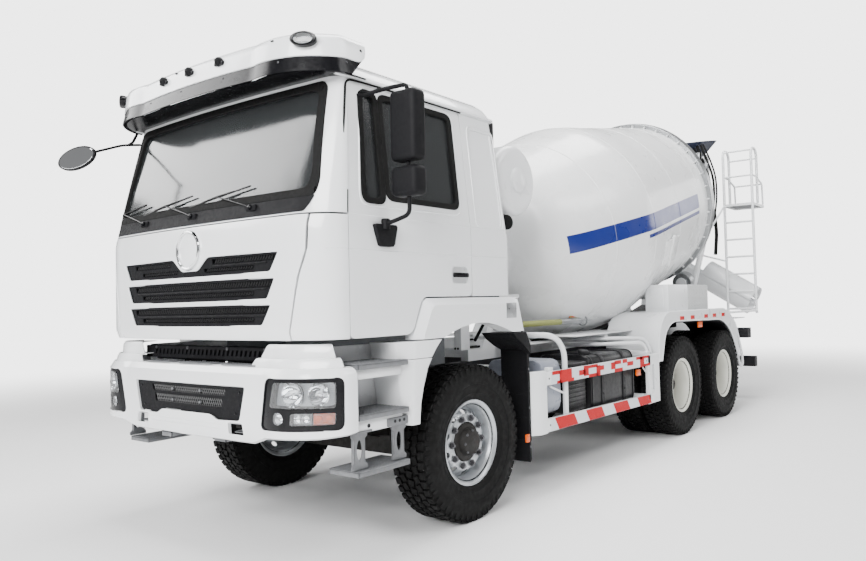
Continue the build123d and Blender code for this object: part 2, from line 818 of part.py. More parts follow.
# arch flares, the part above the cab's lower seam
flare_seam = 1300
flare_out = body_half - 5
with BuildPart() as arch_flares:
    for side, out in sides:
        band = [
            (fa + 655 - seam, flare_seam),
            (fa + 655 - 2 * seam, panel_bottom - seam),
            (fa + 554 - seam, arch_top - seam),
            (fa - 400, arch_top - seam),
            (fa - 507, flare_seam),
            (fa - 400, flare_seam),
            (fa - 233, 1350),
            (fa, 1380),
            (fa + 233, 1350),
            (fa + 400, flare_seam),
        ]
        slab(band, *span(out, door_inside + seam, flare_out))
write(arch_flares.part, "arch_flares")

visor_low = 2895
visor_top = 3130
visor_wall = 40
visor_lip = 130  # how far the top edge turns back
visor_end = fa + 970


def visor_plan(inset):
    """Plan outline of the visor's outer face, pulled in by a wall."""
    end = (visor_end, cab_half - 52 - inset)
    turn = (fa + 1150, cab_half - 52 - inset)
    corner = (fa + 1297 - 0.75 * inset, cab_half - 185 - 0.75 * inset)
    bend = (fa + 1378 - inset, cab_half - 575)
    with BuildSketch() as plan:
        with BuildLine():
            Line(end, turn)
            ThreePointArc(turn, corner, bend)
            ThreePointArc(bend, (fa + 1410 - inset, 0), (bend[0], -bend[1]))
            ThreePointArc((bend[0], -bend[1]), (corner[0], -corner[1]), (turn[0], -turn[1]))
            Polyline((turn[0], -turn[1]), (end[0], -end[1]), end)
        make_face()
    return plan.sketch


with BuildPart() as sun_visor:
    high = visor_top - visor_low
    extrude(Pos(0, 0, visor_low) * visor_plan(0), amount=high)
    extrude(Pos(0, 0, visor_low) * visor_plan(visor_wall), amount=high - 12, mode=Mode.SUBTRACT)
    extrude(Pos(0, 0, visor_low) * visor_plan(visor_lip), amount=high, mode=Mode.SUBTRACT)
    open_half = cab_half - 52 - visor_wall
    open_rear = (visor_end + visor_lip + 2, open_half, visor_top)
    block((visor_end, -open_half, visor_low), open_rear, mode=Mode.SUBTRACT)
    for y, reach in ((-700, 1345), (0, 1380), (700, 1345)):
        block((fa + 900, y - 20, 3000), (fa + reach, y + 20, 3075))
    add(outer_form, mode=Mode.SUBTRACT)
write(sun_visor.part, "sun_visor")

# dashboard with column and steering wheel, seats
with BuildPart() as dashboard:
    dash = [
        (fa + 1180, 1800), (fa + 1180, 2120), (fa + 1060, 2130), (fa + 860, 2060), (fa + 820, 1960),
        (fa + 900, 1800),
    ]
    slab(dash, -1080, 1080)
    column_top = (fa + 640, 560, 2080)
    bar((fa + 900, 560, 1880), column_top, 35)
    wheel_plane = Plane(origin=column_top, z_dir=(-0.45, 0, 1))
    with BuildSketch(wheel_plane):
        Circle(230)
        Circle(200, mode=Mode.SUBTRACT)
        Circle(45)
        Rectangle(420, 40)
    extrude(amount=26)
write(dashboard.part, "dashboard")

with BuildPart() as seats:
    for y, x in ((560, 330), (-560, 330)):
        seat = [
            (fa + x + 250, 1760), (fa + x + 250, 1890), (fa + x - 150, 1870), (fa + x - 250, 2600),
            (fa + x - 390, 2600), (fa + x - 300, 1760),
        ]
        slab(seat, y - 245, y + 245)
        block((fa + x - 200, y - 120, floor_low + floor_thick), (fa + x + 150, y + 120, 1760))
write(seats.part, "seats")

with BuildPart() as front_mirror:
    tip = front_reach
    with BuildSketch(Plane.YZ.offset(fa + tip - 45)):
        with Locations((-1080, 2620)):
            Ellipse(140, 80)
    extrude(amount=45)
    bar((fa + 1150, -1085, 2868), (fa + tip - 60, -1080, 2790), 12)
    add(outer_form, mode=Mode.SUBTRACT)
    bar((fa + tip - 60, -1080, 2802), (fa + tip - 60, -1080, 2620), 12)
    bar((fa + tip - 72, -1080, 2620), (fa + tip - 40, -1080, 2620), 12)
write(front_mirror.part, "front_mirror")

with BuildPart() as wipers:
    for y in (-650, 0, 650):
        base = (nose - 30, y, 2165)
        block((nose - 46, y - 30, 2120), (nose - 10, y + 30, 2180))
        bar((nose - 25, y, 2165), (nose - 60, y - 380, 2240), 9)
        bar((nose - 70, y - 640, 2215), (nose - 58, y - 120, 2265), 9)
write(wipers.part, "wipers")

# ================= front bumper, lamps, steps, front mudguards =================
bumper_low = 765
bumper_top = 1185
bumper_nose = fa + 1478
bumper_wall = 70
shoulder_top = 1305


def bumper_plan(inset):
    """Plan outline of the bumper's outer face, pulled in by a wall."""
    with BuildSketch() as plan:
        with BuildLine():
            ThreePointArc((bumper_nose - 14, -750), (bumper_nose, 0), (bumper_nose - 14, 750))
            ThreePointArc((bumper_nose - 14, 750), (bumper_nose - 90, 1110), (fa + 1250, body_half))
            end = [(fa + 1250, body_half), (fa + 1180, body_half)]
            Polyline(*end, *[(x, -y) for x, y in reversed(end)])
            ThreePointArc((fa + 1250, -body_half), (bumper_nose - 90, -1110), (bumper_nose - 14, -750))
        make_face()
        offset(amount=-inset, kind=Kind.INTERSECTION)
    return plan.sketch


lamp_in = 770
lamp_low = 815
lamp_high = 1135
lamp_side = fa + 1330
with BuildPart() as front_bumper:
    extrude(Pos(0, 0, bumper_low) * bumper_plan(0), amount=bumper_top - bumper_low)
    inner_plan = Pos(0, 0, bumper_low + 40) * bumper_plan(bumper_wall)
    extrude(inner_plan, amount=bumper_top - bumper_low, mode=Mode.SUBTRACT)
    inner_half = body_half - bumper_wall
    open_rear = (fa + 1330, inner_half, bumper_top + 10)
    block((fa + 1100, -inner_half, bumper_low - 10), open_rear, mode=Mode.SUBTRACT)
    # centre grille with its raised middle, tow slots, lamp pockets
    half_grille = [(600, 1070), (550, 865), (330, 865), (284, 890)]
    grille = half_grille + [(-y, z) for y, z in reversed(half_grille)]
    front_slab(grille, fa + 1380, bumper_nose + 10, mode=Mode.SUBTRACT)
    for side, out in sides:
        y0, y1 = span(out, 450, 590)
        block((fa + 1380, y0, 790), (bumper_nose + 10, y1, 840), mode=Mode.SUBTRACT)
        lamp = [
            (out * lamp_in, lamp_high), (out * (lamp_in - 40), lamp_low),
            (out * 1300, lamp_low + 20), (out * 1300, lamp_high),
        ]
        front_slab(lamp, lamp_side, bumper_nose + 10, mode=Mode.SUBTRACT)
        # shoulders above the lamps
        y0, y1 = span(out, 760, 1165)
        block((fa + 1200, y0, bumper_top), (fa + 1345, y1, shoulder_top))
        # brackets back to the rails
        y0, y1 = span(out, 350, 415)
        block((rail_front - 40, y0, rail_low + 30), (fa + 1420, y1, rail_top - 30))
write(front_bumper.part, "front_bumper")

# shelf on the bumper and the bar behind it, inside the reach of the tilting cab
shelf_half = 740
bar_top = 1290
with BuildPart() as front_shelf:
    block((fa + 1290, -shelf_half, bumper_top), (fa + 1425, shelf_half, bumper_top + 30))
    block((fa + 1290, -shelf_half, bumper_top + 30), (fa + 1330, shelf_half, bar_top))
write(front_shelf.part, "front_shelf")

with BuildPart() as headlamps:
    extrude(Pos(0, 0, lamp_low) * bumper_plan(8), amount=lamp_high - lamp_low)
    inner_plan = Pos(0, 0, lamp_low) * bumper_plan(bumper_wall - 10)
    extrude(inner_plan, amount=lamp_high - lamp_low, mode=Mode.SUBTRACT)
    block((fa + 1100, -1300, lamp_low - 10), (lamp_side + 6, 1300, lamp_high + 10), mode=Mode.SUBTRACT)
    keep = [
        (lamp_in + 6, lamp_high - 6), (lamp_in - 34, lamp_low + 20),
        (1290, lamp_low + 26), (1290, lamp_high - 6),
    ]
    front_slab(keep, fa + 1300, bumper_nose + 10, mode=Mode.INTERSECT)
    mirror(about=Plane.XZ)
write(headlamps.part, "headlamps")

step_front = 1165
step_rear = 700
with BuildPart() as entry_steps:
    for side, out in sides:
        # treads
        for z, front in ((1193, step_front), (904, step_front), (585, step_front + 10)):
            y0, y1 = span(out, 960, body_half - 10)
            block((fa + step_rear + 35, y0, z - 35), (fa + front, y1, z))
        # box side of the step well, inner wall and hangers
        y0, y1 = span(out, 930, 960)
        block((fa + step_rear + 35, y0, 760), (fa + step_front, y1, shoulder_top - 20))
        y0, y1 = span(out, rail_half, 960)
        block((fa + 900, y0, rail_low + 80), (fa + 980, y1, rail_top - 60))
        for x in (760, 1110):
            y0, y1 = span(out, 1180, 1200)
            block((fa + x, y0, 550), (fa + x + 50, y1, 904))
        # fender behind the steps, down to the arch
        guard = [
            (fa + 650, flare_seam - seam), (fa + 820, flare_seam - seam), (fa + 735, 800), (fa + 650, 770),
            (fa + 645, 1000), (fa + 560, 1180), (fa + 430, flare_seam - seam),
        ]
        y0, y1 = span(out, 930, flare_out)
        slab(guard, y0, y1)
write(entry_steps.part, "entry_steps")

with BuildPart() as front_mudguards:
    for side, out in sides:
        y0, y1 = span(out, 930, flare_out)
        rear_guard = [
            (fa - 400, flare_seam - seam), (fa - 590, flare_seam - seam), (fa - 640, 1185),
            (fa - 560, 1185), (fa - 430, 1240),
        ]
        slab(rear_guard, y0, y1)
        y0, y1 = span(out, 930, 1190)
        block((fa - 690, y0, 280), (fa - 670, y1, 1190))
        block((fa - 690, y0, 1185), (fa - 600, y1, 1205))
        y0, y1 = span(out, rail_half, 960)
        block((fa - 675, y0, rail_low + 150), (fa - 645, y1, rail_low + 200))
write(front_mudguards.part, "front_mudguards")

# ================= tanks and side guards =================
guard_front = fa - 600
guard_rear = ra + 645
with BuildPart() as fuel_tank:
    with BuildSketch(across(guard_rear + 500)):
        with Locations((880, 760)):
            RectangleRounded(560, 520, 90)
    extrude(amount=900)
    block((guard_rear + 600, rail_half, 800), (guard_rear + 680, 620, 900))
    block((guard_rear + 1200, rail_half, 800), (guard_rear + 1280, 620, 900))
write(fuel_tank.part, "fuel_tank")

with BuildPart() as air_tanks:
    bar((guard_rear + 500, -800, 800), (guard_rear + 1400, -800, 800), 140)
    bar((guard_rear + 500, -1050, 700), (guard_rear + 1000, -1050, 700), 90)
    block((guard_rear + 700, -1100, 860), (guard_rear + 760, -rail_half, 940))
    block((guard_rear + 700, -1100, 700), (guard_rear + 760, -1040, 940))
    block((guard_rear + 1450, 640, 560), (guard_rear + 1900, 1140, 980))
    block((guard_rear + 1600, rail_half, 820), (guard_rear + 1700, 640, 900))
write(air_tanks.part, "air_tanks")

with BuildPart() as side_guards:
    for side, out in sides:
        y0, y1 = span(out, body_half - 45, body_half - 10)
        for z_low, z_high in ((465, 580), (870, 985)):
            block((guard_rear + 20, y0, z_low), (guard_front, y1, z_high))
        for x0, x1 in ((guard_front - 100, guard_front), (guard_rear, guard_rear + 110)):
            block((x0, y0, 465), (x1, y1, 985))
        for x in (guard_front - 380, guard_rear + 230):
            y0, y1 = span(out, rail_half, body_half - 45)
            block((x, y0, 1000 - 60), (x + 40, y1, 1000))
            y0, y1 = span(out, body_half - 85, body_half - 45)
            block((x, y0, 480), (x + 40, y1, 1000))
write(side_guards.part, "side_guards")

# ================= rear fenders and tail =================
fender_in = 590
fender_dip = 730  # y where the fender's inner side starts to dip
fender_high = 1370
fender_skin = 30
fender_top = [
    (ra + 640, 880), (ra + 600, 1180), (ra + 420, fender_high),
    (rb - 100, fender_high), (rb - 420, 1220), (rb - 600, 740),
]
locker_in = 860
locker_out = 1140
locker_top = 1690
with BuildPart() as rear_fenders:
    for side, out in sides:
        arch = fender_top + [
            (rb - 580, 735), (rb - 405, 1195), (rb - 90, fender_high - fender_skin),
            (ra + 410, fender_high - fender_skin), (ra + 575, 1165), (ra + 610, 875),
        ]
        slab(arch, *span(out, fender_dip, body_half - 5))
        dip = [
            (out * fender_in, 1262), (out * fender_in, 1262 + fender_skin),
            (out * fender_dip, fender_high), (out * fender_dip, fender_high - fender_skin),
        ]
        front_slab(dip, rb - 90, ra + 410)
        rim = fender_top + [
            (rb - 560, 740), (rb - 350, 1130), (rb - 60, 1270),
            (ra + 330, 1270), (ra + 520, 1080), (ra + 580, 880),
        ]
        slab(rim, *span(out, body_half - 25, body_half - 5))
        # tool locker along the top
        y0, y1 = span(out, locker_in, locker_out)
        block((rb - 25, y0, fender_high), (ra - 175, y1, locker_top))
        # brackets from the rails, clear of the tyres
        for x, reach, high in ((ra + 400, 640, 1275), (bogie, 640, 1275), (rb - 420, 760, 1200)):
            y0, y1 = span(out, rail_half, reach)
            block((x - 20, y0, 1060), (x + 20, y1, 1110))
            y0, y1 = span(out, reach - 35, reach)
            block((x - 20, y0, 1060), (x + 20, y1, high))
write(rear_fenders.part, "rear_fenders")

underrun_x = rb - 1780
with BuildPart() as rear_underrun:
    block((underrun_x, -1130, 480), (underrun_x + 110, 1130, 630))
    for side, out in sides:
        y0, y1 = span(out, 360, 420)
        block((underrun_x + 20, y0, 500), (tail + 60, y1, 620))
        block((tail - 60, y0, 500), (tail + 60, y1, rail_low))
        y0, y1 = span(out, 1020, 1200)
        block((tail - 60, y0, 930), (tail + 90, y1, 1070))
        y0, y1 = span(out, rail_half, 1100)
        block((tail + 10, y0, 960), (tail + 50, y1, 1010))
write(rear_underrun.part, "rear_underrun")

ladder_x = rb - 1755
ladder_in = 735
ladder_out = 1153
platform_z = 2900
platform_rear = rb - 2305
with BuildPart() as rear_ladder:
    for y in (ladder_in, ladder_out):
        bar((ladder_x, y, 1280), (ladder_x, y, 3720), 20)
        bar((ladder_x, y, 1300), (rb - 640, y, 1300), 20)
        bar((rb - 640, y, 1320), (rb - 640, y, 1080), 20)
        bar((platform_rear + 20, y, platform_z), (platform_rear + 20, y, 3720), 20)
        bar((ladder_x, y, 3720), (platform_rear + 20, y, 3720), 20)
        bar((ladder_x, y, 3320), (platform_rear + 20, y, 3320), 14)
        block((platform_rear, y - 15, platform_z - 30), (ladder_x, y + 15, platform_z))
    for step in range(6):
        z = 1330 + step * 260
        bar((ladder_x, ladder_in, z), (ladder_x, ladder_out, z), 14)
    block((platform_rear, ladder_in, platform_z - 12), (ladder_x - 10, ladder_out, platform_z))
    bar((platform_rear + 20, ladder_in, 3320), (platform_rear + 20, ladder_out, 3320), 14)
    block((rb - 660, rail_half, 1060), (rb - 620, ladder_out + 20, 1100))
write(rear_ladder.part, "rear_ladder")

# rear tower: two raked columns from the roller bed to the hopper, and the chute's bearing
tower_foot_x = rb - 1000
tower_half = 480


def spout_body(wall):
    """Tapered spout under the drum's mouth, or its inside."""
    over = 1 if wall else 0
    with BuildPart() as body:
        with BuildSketch(Plane.XY.offset(2900 + over)):
            with Locations((swivel_x + 190, 0)):
                Rectangle(760 - 2 * wall, 900 - 2 * wall)
        with BuildSketch(Plane.XY.offset(2320 - over)):
            with Locations((swivel_x, 0)):
                Rectangle(320 - 2 * wall, 320 - 2 * wall)
        loft()
    return body.part


with BuildPart() as discharge_spout:
    for side, out in sides:
        bar((tower_foot_x, out * 330, sub_top), (swivel_x + 250, out * tower_half, 2750), 45)
        bar((swivel_x + 250, out * tower_half, 2750), (hopper_x + 60, out * 420, hopper_z - 230), 40)
        bar((tail + 200, out * (rail_half - 40), sub_top), (swivel_x + 90, out * 60, 1420), 40)
    block((swivel_x, -600, 0), (tower_foot_x + 200, 600, sub_top), mode=Mode.SUBTRACT)
    for side, out in sides:
        bar((swivel_x + 250, out * tower_half, 2740), (swivel_x + 250, out * 372, 2740), 25)
    add(spout_body(0))
    add(spout_body(10), mode=Mode.SUBTRACT)
    bar((swivel_x, 0, 1300), (swivel_x, 0, 1540), 80)
    bar((swivel_x, 0, 1340), (swivel_x, 0, 1541), 40 + running_gap, mode=Mode.SUBTRACT)
write(discharge_spout.part, "discharge_spout")

# ================= chutes =================
chute_slope = radians(31.5)
chute_dir = Vector(0, cos(chute_slope), -sin(chute_slope))
chute_up = Vector(0, sin(chute_slope), cos(chute_slope))
chute_radius = 215
chute_wall = 6
chute_start = Vector(swivel_x, -200, 2190)
chute_length = 1450
extension_length = 850
fold_gap = 12
with BuildPart() as chute_turntable:
    bar((swivel_x, 0, 1350), (swivel_x, 0, 1548), 40)
    bar((swivel_x, 0, 1548), (swivel_x, 0, 1590), 90)
    for way in (-1, 1):
        x0, x1 = sorted((swivel_x + way * 60, swivel_x + way * 85))
        slab_points = [(-60, 1585), (100, 1585), (165, 1610), (165, 1680), (80, 1680), (-60, 1600)]
        front_slab(slab_points, x0, x1)
    bar((swivel_x - 85, 120, 1640), (swivel_x + 85, 120, 1640), 20)
write(chute_turntable.part, "chute_turntable")


def trough(start, length, up_side):
    """Half-round trough from start along the chute, open towards up_side."""
    plane = Plane(origin=start, x_dir=(1, 0, 0), z_dir=chute_dir)
    with BuildSketch(plane) as section:
        Circle(chute_radius)
        Circle(chute_radius - chute_wall, mode=Mode.SUBTRACT)
        with Locations((0, up_side * chute_radius)):
            Rectangle(3 * chute_radius, 2 * chute_radius, mode=Mode.SUBTRACT)
    extrude(section.sketch, amount=length)


# the section plane's own y axis points along or against the chute's upward normal
section_up = 1 if Plane(origin=(0, 0, 0), x_dir=(1, 0, 0), z_dir=chute_dir).y_dir.Z > 0 else -1
with BuildPart() as main_chute:
    trough(chute_start, chute_length, section_up)
    for way in (-1, 1):
        x0, x1 = sorted((swivel_x + way * 20, swivel_x + way * 52))
        front_slab([(85, 1610), (155, 1610), (180, 1712), (60, 1786)], x0, x1)
    bar((swivel_x - 60, 120, 1640), (swivel_x + 60, 120, 1640), 20 + running_gap, mode=Mode.SUBTRACT)
write(main_chute.part, "main_chute")

fold_line = chute_start + chute_dir * chute_length + chute_up * (fold_gap / 2)
with BuildPart() as chute_extension:
    start = chute_start + chute_dir * (chute_length - 10 - extension_length) + chute_up * fold_gap
    trough(start, extension_length, -section_up)
write(chute_extension.part, "chute_extension")
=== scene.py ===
import json
import math

import bmesh
import bpy
import numpy as np
from mathutils import Matrix, Vector
from mathutils.geometry import delaunay_2d_cdt


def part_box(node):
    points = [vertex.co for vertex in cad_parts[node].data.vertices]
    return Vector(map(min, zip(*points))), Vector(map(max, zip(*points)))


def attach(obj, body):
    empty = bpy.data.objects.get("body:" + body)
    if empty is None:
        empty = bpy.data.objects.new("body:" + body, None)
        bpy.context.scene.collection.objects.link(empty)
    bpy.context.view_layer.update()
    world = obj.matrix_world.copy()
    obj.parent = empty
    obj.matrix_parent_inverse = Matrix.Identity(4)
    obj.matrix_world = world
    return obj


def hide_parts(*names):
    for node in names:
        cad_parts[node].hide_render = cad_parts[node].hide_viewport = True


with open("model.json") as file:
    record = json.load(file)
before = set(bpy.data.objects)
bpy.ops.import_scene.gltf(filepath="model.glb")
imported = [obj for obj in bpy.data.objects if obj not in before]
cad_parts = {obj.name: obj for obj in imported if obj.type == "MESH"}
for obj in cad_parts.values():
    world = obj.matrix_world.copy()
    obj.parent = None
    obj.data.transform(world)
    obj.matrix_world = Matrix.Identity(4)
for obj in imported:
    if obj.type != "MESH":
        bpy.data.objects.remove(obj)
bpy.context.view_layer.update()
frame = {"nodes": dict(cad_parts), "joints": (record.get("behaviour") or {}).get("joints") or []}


# places that everything is worked out from, in metres
def joint(name):
    return next(j for j in frame["joints"] if j["name"] == name)


def pin(name):
    return Vector(joint(name)["pos_m"])


frontX = pin("front_left_roll").x  # cab pieces are laid out from the front axle
middleX = pin("middle_left_roll").x
rearX = pin("rear_left_roll").x
wheelHigh = pin("front_left_roll").z
sides = (("left", 1), ("right", -1))
print("frame read, front axle at", round(frontX, 4), "and last axle at", round(rearX, 4))


# shapes added to bm, the mesh in the making
bm = bmesh.new()


def onSide(a, b, c):  # outline of (x, z), spread along y
    return Vector((a, c, b))


def onFront(a, b, c):  # outline of (y, z), spread along x
    return Vector((c, a, b))


def onPlan(a, b, c):  # outline of (x, y), spread along z
    return Vector((a, b, c))


def plane(spot, level):  # a flat face for a panel
    return lambda a, b: spot(a, b, level)


def ellipse(a, b, wide, tall, steps):
    return [(a + wide * math.cos(t), b + tall * math.sin(t)) for t in np.linspace(0, 2 * math.pi, steps,
        False)]


def added(name, data):  # an object linked into the scene
    holder = bpy.data.objects.new(name, data)
    bpy.context.scene.collection.objects.link(holder)
    return holder


def roundEdges(piece, width, angle):
    rounding = piece.modifiers.new("rounding", "BEVEL")
    rounding.width, rounding.segments = width, 2
    rounding.limit_method, rounding.angle_limit = "ANGLE", math.radians(angle)


def addFace(verts, paint=0):
    face = bm.faces.new(verts)
    face.material_index = paint
    return face


def soften(faces, width, steps=2):
    edges = list({edge for face in faces for edge in face.edges})
    bmesh.ops.bevel(bm, geom=edges, offset=width, segments=steps, affect="EDGES", profile=0.5)


def addBox(low, high, soft=0.004, paint=0, steps=2):
    low, high = [min(pair) for pair in zip(low, high)], [max(pair) for pair in zip(low, high)]
    corners = [bm.verts.new((x, y, z)) for x in (low[0], high[0]) for y in (low[1], high[1])
        for z in (low[2], high[2])]
    rings = ((0, 1, 3, 2), (4, 6, 7, 5), (0, 4, 5, 1), (2, 3, 7, 6), (0, 2, 6, 4), (1, 5, 7, 3))
    made = [addFace([corners[i] for i in ring], paint) for ring in rings]
    if soft:
        soften(made, soft, steps)


def rounded(points, radius, steps=5, closed=True):  # the same corners, each turned into a soft bend
    points = [Vector(p) for p in points]
    count = len(points)
    path = []
    for i, corner in enumerate(points):
        if not closed and i in (0, count - 1):
            path.append(corner)
            continue
        before, after = points[i - 1], points[(i + 1) % count]
        reach = min(radius, 0.48 * (before - corner).length, 0.48 * (after - corner).length)
        start = corner + (before - corner).normalized() * reach
        end = corner + (after - corner).normalized() * reach
        for k in range(steps + 1):
            t = k / steps
            path.append(start * (1 - t) ** 2 + corner * (2 * t * (1 - t)) + end * t ** 2)
    return path


def addPrism(outline, spot, low, high, soft=0.0, paint=0):
    near = [bm.verts.new(spot(a, b, low)) for a, b in outline]
    far = [bm.verts.new(spot(a, b, high)) for a, b in outline]
    made = [addFace(near[::-1], paint), addFace(far, paint)]
    for i in range(len(outline)):
        j = (i + 1) % len(outline)
        made.append(addFace([near[i], near[j], far[j], far[i]], paint))
    if soft:
        soften(made[:2], soft)


def addRings(rings, paint=0, capped=True, closed=False):  # skin over rings of equal count
    rows = [[bm.verts.new(p) for p in ring] for ring in rings]
    if closed:
        rows.append(rows[0])
    for one, two in zip(rows, rows[1:]):
        for i in range(len(one)):
            j = (i + 1) % len(one)
            addFace([one[i], one[j], two[j], two[i]], paint)
    if capped and not closed:
        addFace(rows[0][::-1], paint)
        addFace(rows[-1], paint)


def addTube(points, radius, turn=0.05, steps=12, paint=0, closed=False, flat=1.0):
    path = rounded(points, turn, 6, closed) if turn else [Vector(p) for p in points]
    count = len(path)
    side = None
    rings = []
    for i, spot in enumerate(path):
        before = path[i - 1] if i or closed else spot
        after = path[(i + 1) % count] if i < count - 1 or closed else spot
        way = (after - before).normalized()
        if side is None:
            side = way.cross(Vector((0, 0, 1)) if abs(way.z) < 0.9 else Vector((0, 1, 0)))
        side = (side - way * side.dot(way)).normalized()
        up = way.cross(side)
        angles = [2 * math.pi * k / steps for k in range(steps)]
        rings.append([spot + side * (radius * math.cos(t)) + up * (radius * flat * math.sin(t))
            for t in angles])
    addRings(rings, paint, True, closed)


# profile of (along, radius)
def addLathe(profile, origin, axis, steps=48, paint=0, closed=False, flat=1.0):
    axis = Vector(axis).normalized()
    side = axis.cross(Vector((0, 0, 1))).normalized() if abs(
        axis.z) < 0.9 else axis.orthogonal().normalized()
    up = axis.cross(side) * flat
    turns = [2 * math.pi * k / steps for k in range(steps)]
    outward = [side * math.cos(t) + up * math.sin(t) for t in turns]
    rows = []
    for along, radius in profile:
        centre = Vector(origin) + axis * along
        spots = [centre] if radius < 1e-6 else [centre + way * radius for way in outward]
        rows.append([bm.verts.new(p) for p in spots])
    pairs = list(zip(rows, rows[1:])) + ([(rows[-1], rows[0])] if closed else [])
    for one, two in pairs:
        for i in range(steps):
            j = (i + 1) % steps
            ring = [one[i % len(one)], one[j % len(one)], two[j % len(two)], two[i % len(two)]]
            addFace(list(dict.fromkeys(ring)), paint)


def covers(ring, spots):  # which spots lie inside a closed outline
    within = np.zeros(len(spots), bool)
    x, y = spots[:, 0], spots[:, 1]
    for (ax, ay), (bx, by) in zip(ring, ring[1:] + ring[:1]):
        crossing = (ay > y) != (by > y)
        within ^= crossing & (x < (bx - ax) * (y - ay) / ((by - ay) or 1e-12) + ax)
    return within


def stepped(ring, step):  # the outline with more points on its long stretches
    path = []
    for one, two in zip(ring, ring[1:] + ring[:1]):
        parts = max(1, math.ceil(math.dist(one, two) / step))
        path += [(one[0] + (two[0] - one[0]) * k / parts, one[1] + (two[1] - one[1]) * k / parts)
            for k in range(parts)]
    return path


def addPanel(outline, holes, outer, inner, step=0.04, paint=0, folds=()):
    # a plate with holes: outer(a, b) and inner(a, b) put its two faces on their surfaces,
    # and folds are lines kept as edges
    rings = [stepped([tuple(p)[:2] for p in ring], step) for ring in [outline] + list(holes)]
    spots, edges = [], []
    for ring in rings:
        first = len(spots)
        spots += ring
        edges += [(first + i, first + (i + 1) % len(ring)) for i in range(len(ring))]
    for one, two in folds:
        parts = max(1, round(math.dist(one, two) / step))
        first = len(spots)
        spots += [(one[0] + (two[0] - one[0]) * k / parts, one[1] + (two[1] - one[1]) * k / parts)
            for k in range(parts + 1)]
        edges += [(first + k, first + k + 1) for k in range(parts)]
    border = np.array(spots)
    low, high = border.min(0), border.max(0)
    grid = np.stack(np.meshgrid(np.arange(low[0], high[0], step), np.arange(low[1], high[1], step)),
        -1).reshape(-1, 2)
    keep = covers(rings[0], grid)
    for ring in rings[1:]:
        keep &= ~covers(ring, grid)
    grid = grid[keep]
    if len(grid):
        apart = np.sqrt(((grid[:, None, :] - border[None, :, :]) ** 2).sum(-1)).min(1)
        spots += [tuple(p) for p in grid[apart > step * 0.55]]
    flat, _, triangles, *_ = delaunay_2d_cdt([Vector(p) for p in spots], edges, [], 1, 1e-7)
    centres = np.array([(sum((flat[i] for i in t), Vector((0, 0))) / 3)[:] for t in triangles])
    keep = covers(rings[0], centres)
    for ring in rings[1:]:
        keep &= ~covers(ring, centres)
    front = [bm.verts.new(outer(*p)) for p in flat]
    rear = [bm.verts.new(inner(*p)) for p in flat]
    once = {}
    for t, wanted in zip(triangles, keep):
        if wanted:
            addFace([front[i] for i in t], paint)
            addFace([rear[i] for i in reversed(t)], paint)
            for i, j in zip(t, list(t[1:]) + [t[0]]):
                once[(i, j)] = (j, i) not in once
                if not once[(i, j)]:
                    once[(j, i)] = False
    for (i, j), single in once.items():
        if single and (j, i) not in once:
            addFace([front[j], front[i], rear[i], rear[j]], paint)
    for vert in front + rear:
        if not vert.link_faces:
            bm.verts.remove(vert)


def arcThrough(a, b, c, steps=12):  # points on the circle through three
    (ax, ay), (bx, by), (cx, cy) = a, b, c
    twice = 2 * (ax * (by - cy) + bx * (cy - ay) + cx * (ay - by))
    sa, sb, sc = (x * x + y * y for x, y in (a, b, c))
    mx = (sa * (by - cy) + sb * (cy - ay) + sc * (ay - by)) / twice
    my = (sa * (cx - bx) + sb * (ax - cx) + sc * (bx - ax)) / twice
    start, mid, end = (math.atan2(y - my, x - mx) for x, y in (a, b, c))
    sweep = (end - start) % (2 * math.pi)
    if (mid - start) % (2 * math.pi) > sweep:
        sweep -= 2 * math.pi
    r = math.hypot(ax - mx, ay - my)
    turns = [start + sweep * k / steps for k in range(steps + 1)]
    return [(mx + r * math.cos(t), my + r * math.sin(t)) for t in turns]


def bowPath(end, turn, corner, bend, nose):  # plan line from the right end round the nose to the left end
    side = [end] + arcThrough(turn, corner, bend)
    front = arcThrough((bend[0], -bend[1]), nose, bend, 24)
    return [(x, -y) for x, y in side[:-1]] + front + side[-2::-1]


def lineFace(path):  # a plan line as a surface: metres from its middle, metres outwards, height
    spots = np.array([tuple(p)[:2] for p in path])
    runs = np.r_[0, np.cumsum(np.hypot(*np.diff(spots, axis=0).T))]
    runs -= runs[-1] / 2
    ways = np.gradient(spots, axis=0)
    ways /= np.hypot(*ways.T)[:, None]

    def at(s, out, z):
        x, y, a, b = (float(np.interp(s, runs, column)) for column in (*spots.T, *ways.T))
        return Vector((x + b * out, y - a * out, z))
    return at, float(runs[-1])


def outward(at, s):  # the way a bent surface faces
    return at(s, 1, 0) - at(s, 0, 0)


def folded(at, profile, sunk=0.0):  # a surface over (s, t) whose t follows a profile of (t, out, height)
    levels, outs, highs = zip(*profile)
    return lambda s, t: at(s, float(np.interp(t, levels, outs)) - sunk,
        float(np.interp(t, levels, highs)) - sunk * 0.5)


# a profile of (outwards, level) drawn along a line
def addSweep(path, spot, profile, paint=0, closed=False):
    count = len(path)
    rings = []
    for i, (a, b) in enumerate(path):
        before = path[i - 1] if i or closed else path[i]
        after = path[(i + 1) % count] if i < count - 1 or closed else path[i]
        way = Vector((after[0] - before[0], after[1] - before[1])).normalized()
        rings.append([spot(a + way.y * out, b - way.x * out, level) for out, level in profile])
    addRings(rings, paint, True, closed)


def addSlots(place, low, high, bottom, top, step, lean, thick, paint=0):  # slanted ribs across a window
    for y in np.arange(low + step / 2, high, step):
        addTube([place(y - lean / 2, bottom), place(y + lean / 2, top)], thick, 0, 4, paint)


def addMesh(mesh, place=Matrix.Identity(4), paint=0):  # takes in a mesh grown by Geometry Nodes
    first = len(bm.faces)
    mesh.transform(place)
    bm.from_mesh(mesh)
    bm.faces.ensure_lookup_table()
    if paint is not None:
        for face in bm.faces[first:]:
            face.material_index = paint
    bpy.data.meshes.remove(mesh)


